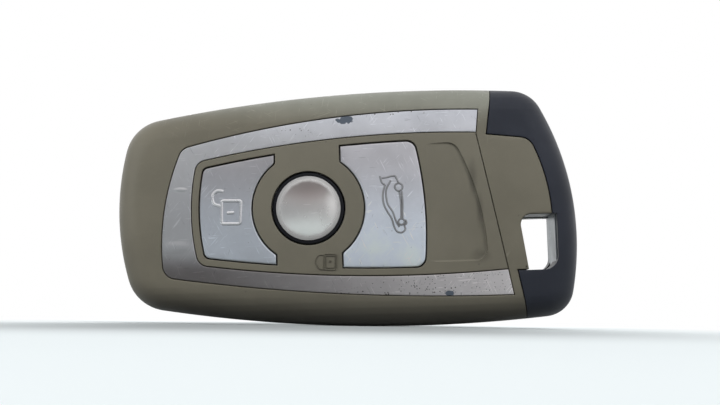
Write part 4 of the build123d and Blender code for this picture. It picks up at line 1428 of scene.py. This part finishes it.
class FobReleaseCatch(bpy.types.Operator):
    """Grooved release catch at the back"""

    bl_idname = "fob.release_catch"
    bl_label = "Release catch"

    def execute(self, context):
        dark = plastic("catch_plastic", Vector(colours().cap[:3]) * 1.1, 0.44)
        finish_piece(agreed(self.model), dark, "catch", "catch_plastic", "release_catch")
        return {"FINISHED"}

    def model(self):
        pad = catch_outline(corner=catch_corner)
        catch = block("release_slider", back_rings(pad, sizes().button_edge) + [(pad, catch_top)])
        flange = catch_outline(catch_side, catch_below, catch_above)
        combine(catch, cutter(flange, catch_floor, catch_top + merge_distance), "UNION")
        lug = box_outline(lug_u - lug_half_length, lug_v, lug_u + lug_half_length, lug_v + lug_width)
        combine(catch, cutter(lug, catch_floor + running_gap, lug_top), "UNION")
        reach = catch_half_length - catch_corner
        half_width = catch_groove_width / 2
        for number in range(catch_grooves):
            v = catch_v + (number - (catch_grooves - 1) / 2) * catch_pitch
            groove = box_outline(
                catch_u - reach, v - half_width,
                catch_u + reach, v + half_width, half_width * catch_groove_end)
            combine(catch, cutter(groove, -half_depth - overrun, -half_depth + catch_groove_depth))
        return catch


def raised_line(name, points, stroke, cyclic):
    """Rounded line that follows points on the crowned front."""
    curve = bpy.data.curves.new(name, "CURVE")
    curve.dimensions = "3D"
    curve.bevel_depth = stroke / 2
    curve.bevel_resolution = line_segments
    curve.use_fill_caps = True
    spline = curve.splines.new("POLY")
    spline.points.add(len(points) - 1)
    for point, (u, v) in zip(spline.points, points):
        point.co = (u, v, 0, 1)
    spline.use_cyclic_u = cyclic
    line = bpy.data.objects.new(name, curve)
    bpy.context.scene.collection.objects.link(line)
    pick(line)
    bpy.ops.object.convert(target="MESH")
    line = bpy.context.object
    height = sizes().symbol_height / (stroke / 2)
    for vertex in line.data.vertices:
        lift = vertex.co.z * height
        vertex.co.z = half_depth - crown_drop(vertex.co.y) + lift
    return line


def smooth_path(*places):
    """Smooth open path through places on the front."""
    ends = [Vector(place) for place in (places[0], *places, places[-1])]
    points = []
    for before, start, end, after in zip(ends, ends[1:], ends[2:], ends[3:]):
        for step in range(path_steps):
            share = step / path_steps
            slope = (end - before) * share
            bend = (2 * before - 5 * start + 4 * end - after) * share**2
            twist = (3 * start - before - 3 * end + after) * share**3
            points.append(tuple(start + (slope + bend + twist) / 2))
    points.append(places[-1])
    return points


def symbol(name, stroke, outlines, paths):
    """One piece of raised lines along closed outlines and open paths."""
    lines = [raised_line(name, points, stroke, True) for points in outlines]
    lines += [raised_line(name, points, stroke, False) for points in paths]
    pick(*lines)
    bpy.ops.object.join()
    return lines[0]


class FobSymbols(bpy.types.Operator):
    """Raised padlock and car on the buttons and the small padlock on the panel"""

    bl_idname = "fob.symbols"
    bl_label = "Symbols"

    def execute(self, context):
        base = Vector(colours().symbol[:3])
        # Painted highlight: the open padlock's metal is a brighter copy of the symbol colour
        silver = metal("symbol_silver", base * 1.25, 0.24, scratch=0.3)
        finish_piece(open_padlock(), silver, "unlock_key", "button_silver", weighted=False)
        # Painted shade: the car's metal is the same symbol colour darkened
        worn = metal("symbol_painted_shade", base * 0.6, 0.34, scratch=0.3)
        finish_piece(car(), worn, "boot_key", "button_silver", weighted=False)
        taupe = plastic("symbol_taupe", Vector(colours().case[:3]) * 0.8, 0.5, marks=0)
        finish_piece(small_padlock(), taupe, "case", "body_plastic", weighted=False)
        return {"FINISHED"}


def open_padlock():
    """Open padlock: square body lying on its side, keyhole bar and a hook-shaped shackle."""
    body = rounded_polygon([
        (-19.55, 1.74, 0.35), (-19.84, -2.51, 0.35), (-23.21, -2.41, 0.35), (-23.12, 1.85, 0.35)])
    shackle = smooth_path((-22.76, 3.55), (-23.95, 3.7), (-24.8, 2.75), (-24.55, 1.35), (-23.3, 0.85))
    bar = [(-22.19, -0.46), (-20.88, -0.4)]
    return symbol("unlock_symbol", sizes().padlock_stroke, [body], [shackle, bar])


def car():
    """Car seen from its side, nose down, with its boot lid up."""
    wheels = [circle_outline(9.59, 3.41, 0.72, wheel_steps), circle_outline(9.9, -3.04, 0.56, wheel_steps)]
    roof = smooth_path(
        (7.08, 3.9), (6.6, 2.02), (6.75, 0.25), (7.44, -1.25), (8.13, -2.45), (8.52, -3.94), (9.08, -4.84),
        (9.95, -5.01), (10.56, -4.44), (10.44, -3.76), (10.84, -3.3), (10.62, -2.68))
    glass = smooth_path(
        (8.16, 4.64), (7.28, 2.89), (7.41, 0.52), (8.32, -1.13), (8.86, -2.77), (9.46, -4.02))
    sill = smooth_path((9.68, 2.52), (9.9, 0.44), (9.87, -2.36))
    rocker = smooth_path((10.15, 2.57), (10.23, 0.43), (10.13, -2.37))
    opening = smooth_path((6.53, 5.14), (7.36, 5.26), (8.84, 5.51), (9.29, 4.9), (9.56, 4.24))
    lid = smooth_path((6.19, 5.53), (6.5, 4.34), (7.08, 3.9))
    return symbol("boot_symbol", sizes().car_stroke, wheels, [roof, glass, sill, rocker, opening, lid])


def small_padlock():
    """Closed padlock in thin lines below the lock button."""
    body = rounded_polygon([
        (-2.18, -8.68, 0.4), (-2.39, -11.58, 0.4), (-4.72, -11.44, 0.4), (-4.52, -8.49, 0.4)])
    inner = rounded_polygon([
        (-2.44, -9.0, 0.2), (-2.62, -11.13, 0.2), (-4.3, -11.08, 0.2), (-4.23, -8.87, 0.2)])
    shackle = smooth_path((-4.52, -8.74), (-5.63, -8.82), (-6.16, -9.92), (-5.58, -11.16), (-4.6, -11.44))
    keyhole = circle_outline(-3.45, -9.93, 0.16, keyhole_steps)
    return symbol("panel_symbol", sizes().small_stroke, [body, inner, keyhole], [shackle])


class FobInnerPieces(bpy.types.Operator):
    """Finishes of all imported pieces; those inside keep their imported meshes"""

    bl_idname = "fob.inner_pieces"
    bl_label = "Inner pieces"

    def execute(self, context):
        made = bpy.data.materials
        finishes = (
            (metal("core_metal", colours().core, 0.38), "bow_core"),
            (metal("blade_steel", (0.62, 0.61, 0.59), 0.28, scratch=0.7), "key_blade", "blade_pin"),
            (metal("leaf_steel", (0.55, 0.55, 0.56), 0.25), "latch_leaf"),
            (metal("contact_plate", (0.72, 0.69, 0.60), 0.24), "contact_negative", "contact_positive"),
            (metal("cell_can", (0.68, 0.68, 0.68), 0.22, scratch=0.7), "coin_cell"),
            (metal("crystal_can", (0.66, 0.66, 0.66), 0.3), "crystal"),
            (metal("switch_body", (0.60, 0.60, 0.60), 0.4), "unlock_switch", "lock_switch", "boot_switch"),
            (board_material(), "circuit_board"),
            (winding_material(), "immobiliser_winding"),
            (plastic("silicone", (0.30, 0.31, 0.32), 0.6), "keypad_mat"),
            (plastic("chip_black", (0.014, 0.014, 0.015), 0.55), "controller_chip", "radio_chip"),
            (plastic("plunger_white", (0.72, 0.71, 0.68), 0.4),
             "unlock_plunger", "lock_plunger", "boot_plunger"),
            (plastic("coil_block", (0.035, 0.035, 0.038), 0.5), "antenna_coil"),
            (plastic("ferrite", (0.03, 0.028, 0.028), 0.7), "ferrite_rod"),
            (plastic("carrier_plastic", (0.05, 0.05, 0.052), 0.5), "carrier"),
            (case_plastic(), "front_case", "rear_case", "battery_cover"),
            (made["panel_plastic"], "button_panel"),
            (made["trim_metal"], "trim"),
            (made["button_silver"], "unlock_button", "boot_button"),
            (made["ring_gloss"], "lock_button"),
            (made["disc_metal"], "lock_disc"),
            (made["cap_plastic"], "bow_cap"),
            (made["catch_plastic"], "release_catch"),
        )
        for material, *nodes in finishes:
            for node in nodes:
                dress(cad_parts[node], material)
        return {"FINISHED"}


def rays(tree):
    """Whether light goes to the camera, also through clear pieces, and whether it is a mirror image."""
    path = add_node(tree, "ShaderNodeLightPath").outputs
    seen = sum_up(tree, "MAXIMUM", path["Is Camera Ray"], path["Is Transmission Ray"])
    return seen, path["Is Glossy Ray"]


def floor_material():
    """Pale floor with the fob's shadow, deepened by a painted shadow patch in front of the fob, plain white
    farther away where the camera sees it.
    """
    material, tree, shader = new_material("floor_pale")
    tone = grouped(tree, "moulded_grain", grain=300.0, patches=8.0)["Tone"]
    pale = Vector(colours().floor[:3])
    seen, glossy = rays(tree)
    unseen = blend_colour(tree, glossy, (0.12, 0.12, 0.12), (0.58, 0.61, 0.62))
    shown = blend_colour(tree, seen, unseen, blend_colour(tree, tone, pale * 0.98, pale))
    aside, along, _ = add_node(tree, "ShaderNodeSeparateXYZ", {0: object_place(tree)}).outputs
    beside = between(tree, sum_up(tree, "ABSOLUTE", aside), 0.04, 0.10)
    distant = sum_up(tree, "MAXIMUM", between(tree, along, 0.0, 0.25), beside)
    # Painted shadow: a mask for a darker patch on the floor in front of the fob
    near = between(tree, sum_up(tree, "ABSOLUTE", sum_up(tree, "ADD", aside, 0.006)), 0.055, 0.012)
    in_front, behind = between(tree, along, -0.175, -0.10), between(tree, along, 0.6, 0.05)
    near = sum_up(tree, "MULTIPLY", near, in_front, behind)
    distant = sum_up(tree, "MULTIPLY", distant, sum_up(tree, "SUBTRACT", 1.0, near), seen)
    # The painted shadow darkens the floor's colour there
    shown = tinted(tree, near, shown, (0.6, 0.6, 0.6))
    tree.links.new(blend_colour(tree, distant, shown, black), shader.inputs["Base Color"])
    tree.links.new(blend_colour(tree, distant, black, white), shader.inputs["Emission Color"])
    shader.inputs["Emission Strength"].default_value = 1.0
    shader.inputs["Roughness"].default_value = 0.7
    shader.inputs["Specular IOR Level"].default_value = 0.0
    return material


def area_lamp(name, place, size, power, tint):
    """Soft rectangular lamp aimed at the fob."""
    lamp = bpy.data.lights.new(name, "AREA")
    lamp.shape = "RECTANGLE"
    lamp.size, lamp.size_y = size
    lamp.energy = power
    lamp.color = tint
    made = bpy.data.objects.new(name, lamp)
    bpy.context.scene.collection.objects.link(made)
    made.location = place
    made.rotation_euler = (Vector(lamp_aim) - Vector(place)).to_track_quat("-Z", "Y").to_euler()
    made.visible_glossy = False


class FobStage(bpy.types.Operator):
    """Pale floor, white surroundings, soft lamps and the camera"""

    bl_idname = "fob.stage"
    bl_label = "Stage"

    def execute(self, context):
        bpy.ops.object.select_all(action="DESELECT")
        bpy.ops.mesh.primitive_plane_add(size=floor_size, location=floor_middle)
        floor = context.object
        floor.name = "floor"
        edit(floor)
        bpy.ops.mesh.subdivide(number_cuts=floor_cuts)
        done()
        floor.data.transform(Matrix.Translation(floor.location))
        floor.location = (0, 0, 0)
        dress(floor, floor_material())
        self.surround(context)
        for lamp in lamps:
            area_lamp(*lamp)
        self.camera(context)
        return {"FINISHED"}

    def surround(self, context):
        world = bpy.data.worlds.new("surroundings")
        context.scene.world = world
        world.use_nodes = True
        tree = world.node_tree
        tree.nodes.clear()
        seen, glossy = rays(tree)
        place = add_node(tree, "ShaderNodeTexCoord").outputs["Generated"]
        aside, along, up = add_node(tree, "ShaderNodeSeparateXYZ", {0: place}).outputs
        across = between(tree, aside, -0.35, 0.35)
        front = blend_colour(tree, across, (0.20, 0.22, 0.25), (0.58, 0.58, 0.60))
        shade = blend_colour(tree, between(tree, along, -0.65, 0.3), front, white)
        shade = marked(tree, shade, between(tree, up, 0.0, 0.42), 0.75, white)
        lit = blend_colour(tree, glossy, (0.22, 0.225, 0.23), shade)
        feeds = {"Color": blend_colour(tree, seen, lit, white), "Strength": 1.0}
        surface = add_node(tree, "ShaderNodeBackground", feeds).outputs[0]
        add_node(tree, "ShaderNodeOutputWorld", {"Surface": surface})

    def camera(self, context):
        lens = bpy.data.cameras.new("camera")
        lens.lens = sizes().lens
        lens.sensor_width = sensor_width
        lens.clip_start = camera_clip
        camera = bpy.data.objects.new("camera", lens)
        context.scene.collection.objects.link(camera)
        rise = Matrix.Rotation(radians(90 + camera_rise), 4, "X")
        roll = Matrix.Rotation(radians(camera_roll), 4, "Z")
        camera.matrix_world = Matrix.Translation(camera_place) @ rise @ roll
        context.scene.camera = camera
        context.scene.view_settings.view_transform = "Standard"


class FOB_PT_sidebar(bpy.types.Panel):
    """Steps and values of the key fob"""

    bl_label = "Key fob"
    bl_idname = "FOB_PT_sidebar"
    bl_space_type = "VIEW_3D"
    bl_region_type = "UI"
    bl_category = "Key fob"

    def draw(self, context):
        for group in (context.scene.fob_sizes, context.scene.fob_colours):
            for name in group.__annotations__:
                self.layout.prop(group, name)
        for step in steps:
            self.layout.operator(step.bl_idname)


steps = (
    FobFrontCase, FobRearCase, FobTrim, FobPanel, FobButtons, FobLockButton, FobBowCap, FobBatteryCover,
    FobReleaseCatch, FobSymbols, FobInnerPieces, FobStage,
)
classes = (FobSizes, FobColours) + steps + (FOB_PT_sidebar,)


def register():
    for item in classes:
        bpy.utils.register_class(item)
    bpy.types.Scene.fob_sizes = bpy.props.PointerProperty(type=FobSizes)
    bpy.types.Scene.fob_colours = bpy.props.PointerProperty(type=FobColours)


def unregister():
    del bpy.types.Scene.fob_sizes
    del bpy.types.Scene.fob_colours
    for item in reversed(classes):
        bpy.utils.unregister_class(item)


def main():
    """Runs every step in order."""
    register()
    make_groups()
    fob_form()
    for step in steps:
        area, name = step.bl_idname.split(".")
        getattr(getattr(bpy.ops, area), name)()
    bpy.data.objects.remove(bpy.data.objects["form"])


if __name__ == "__main__":
    main()
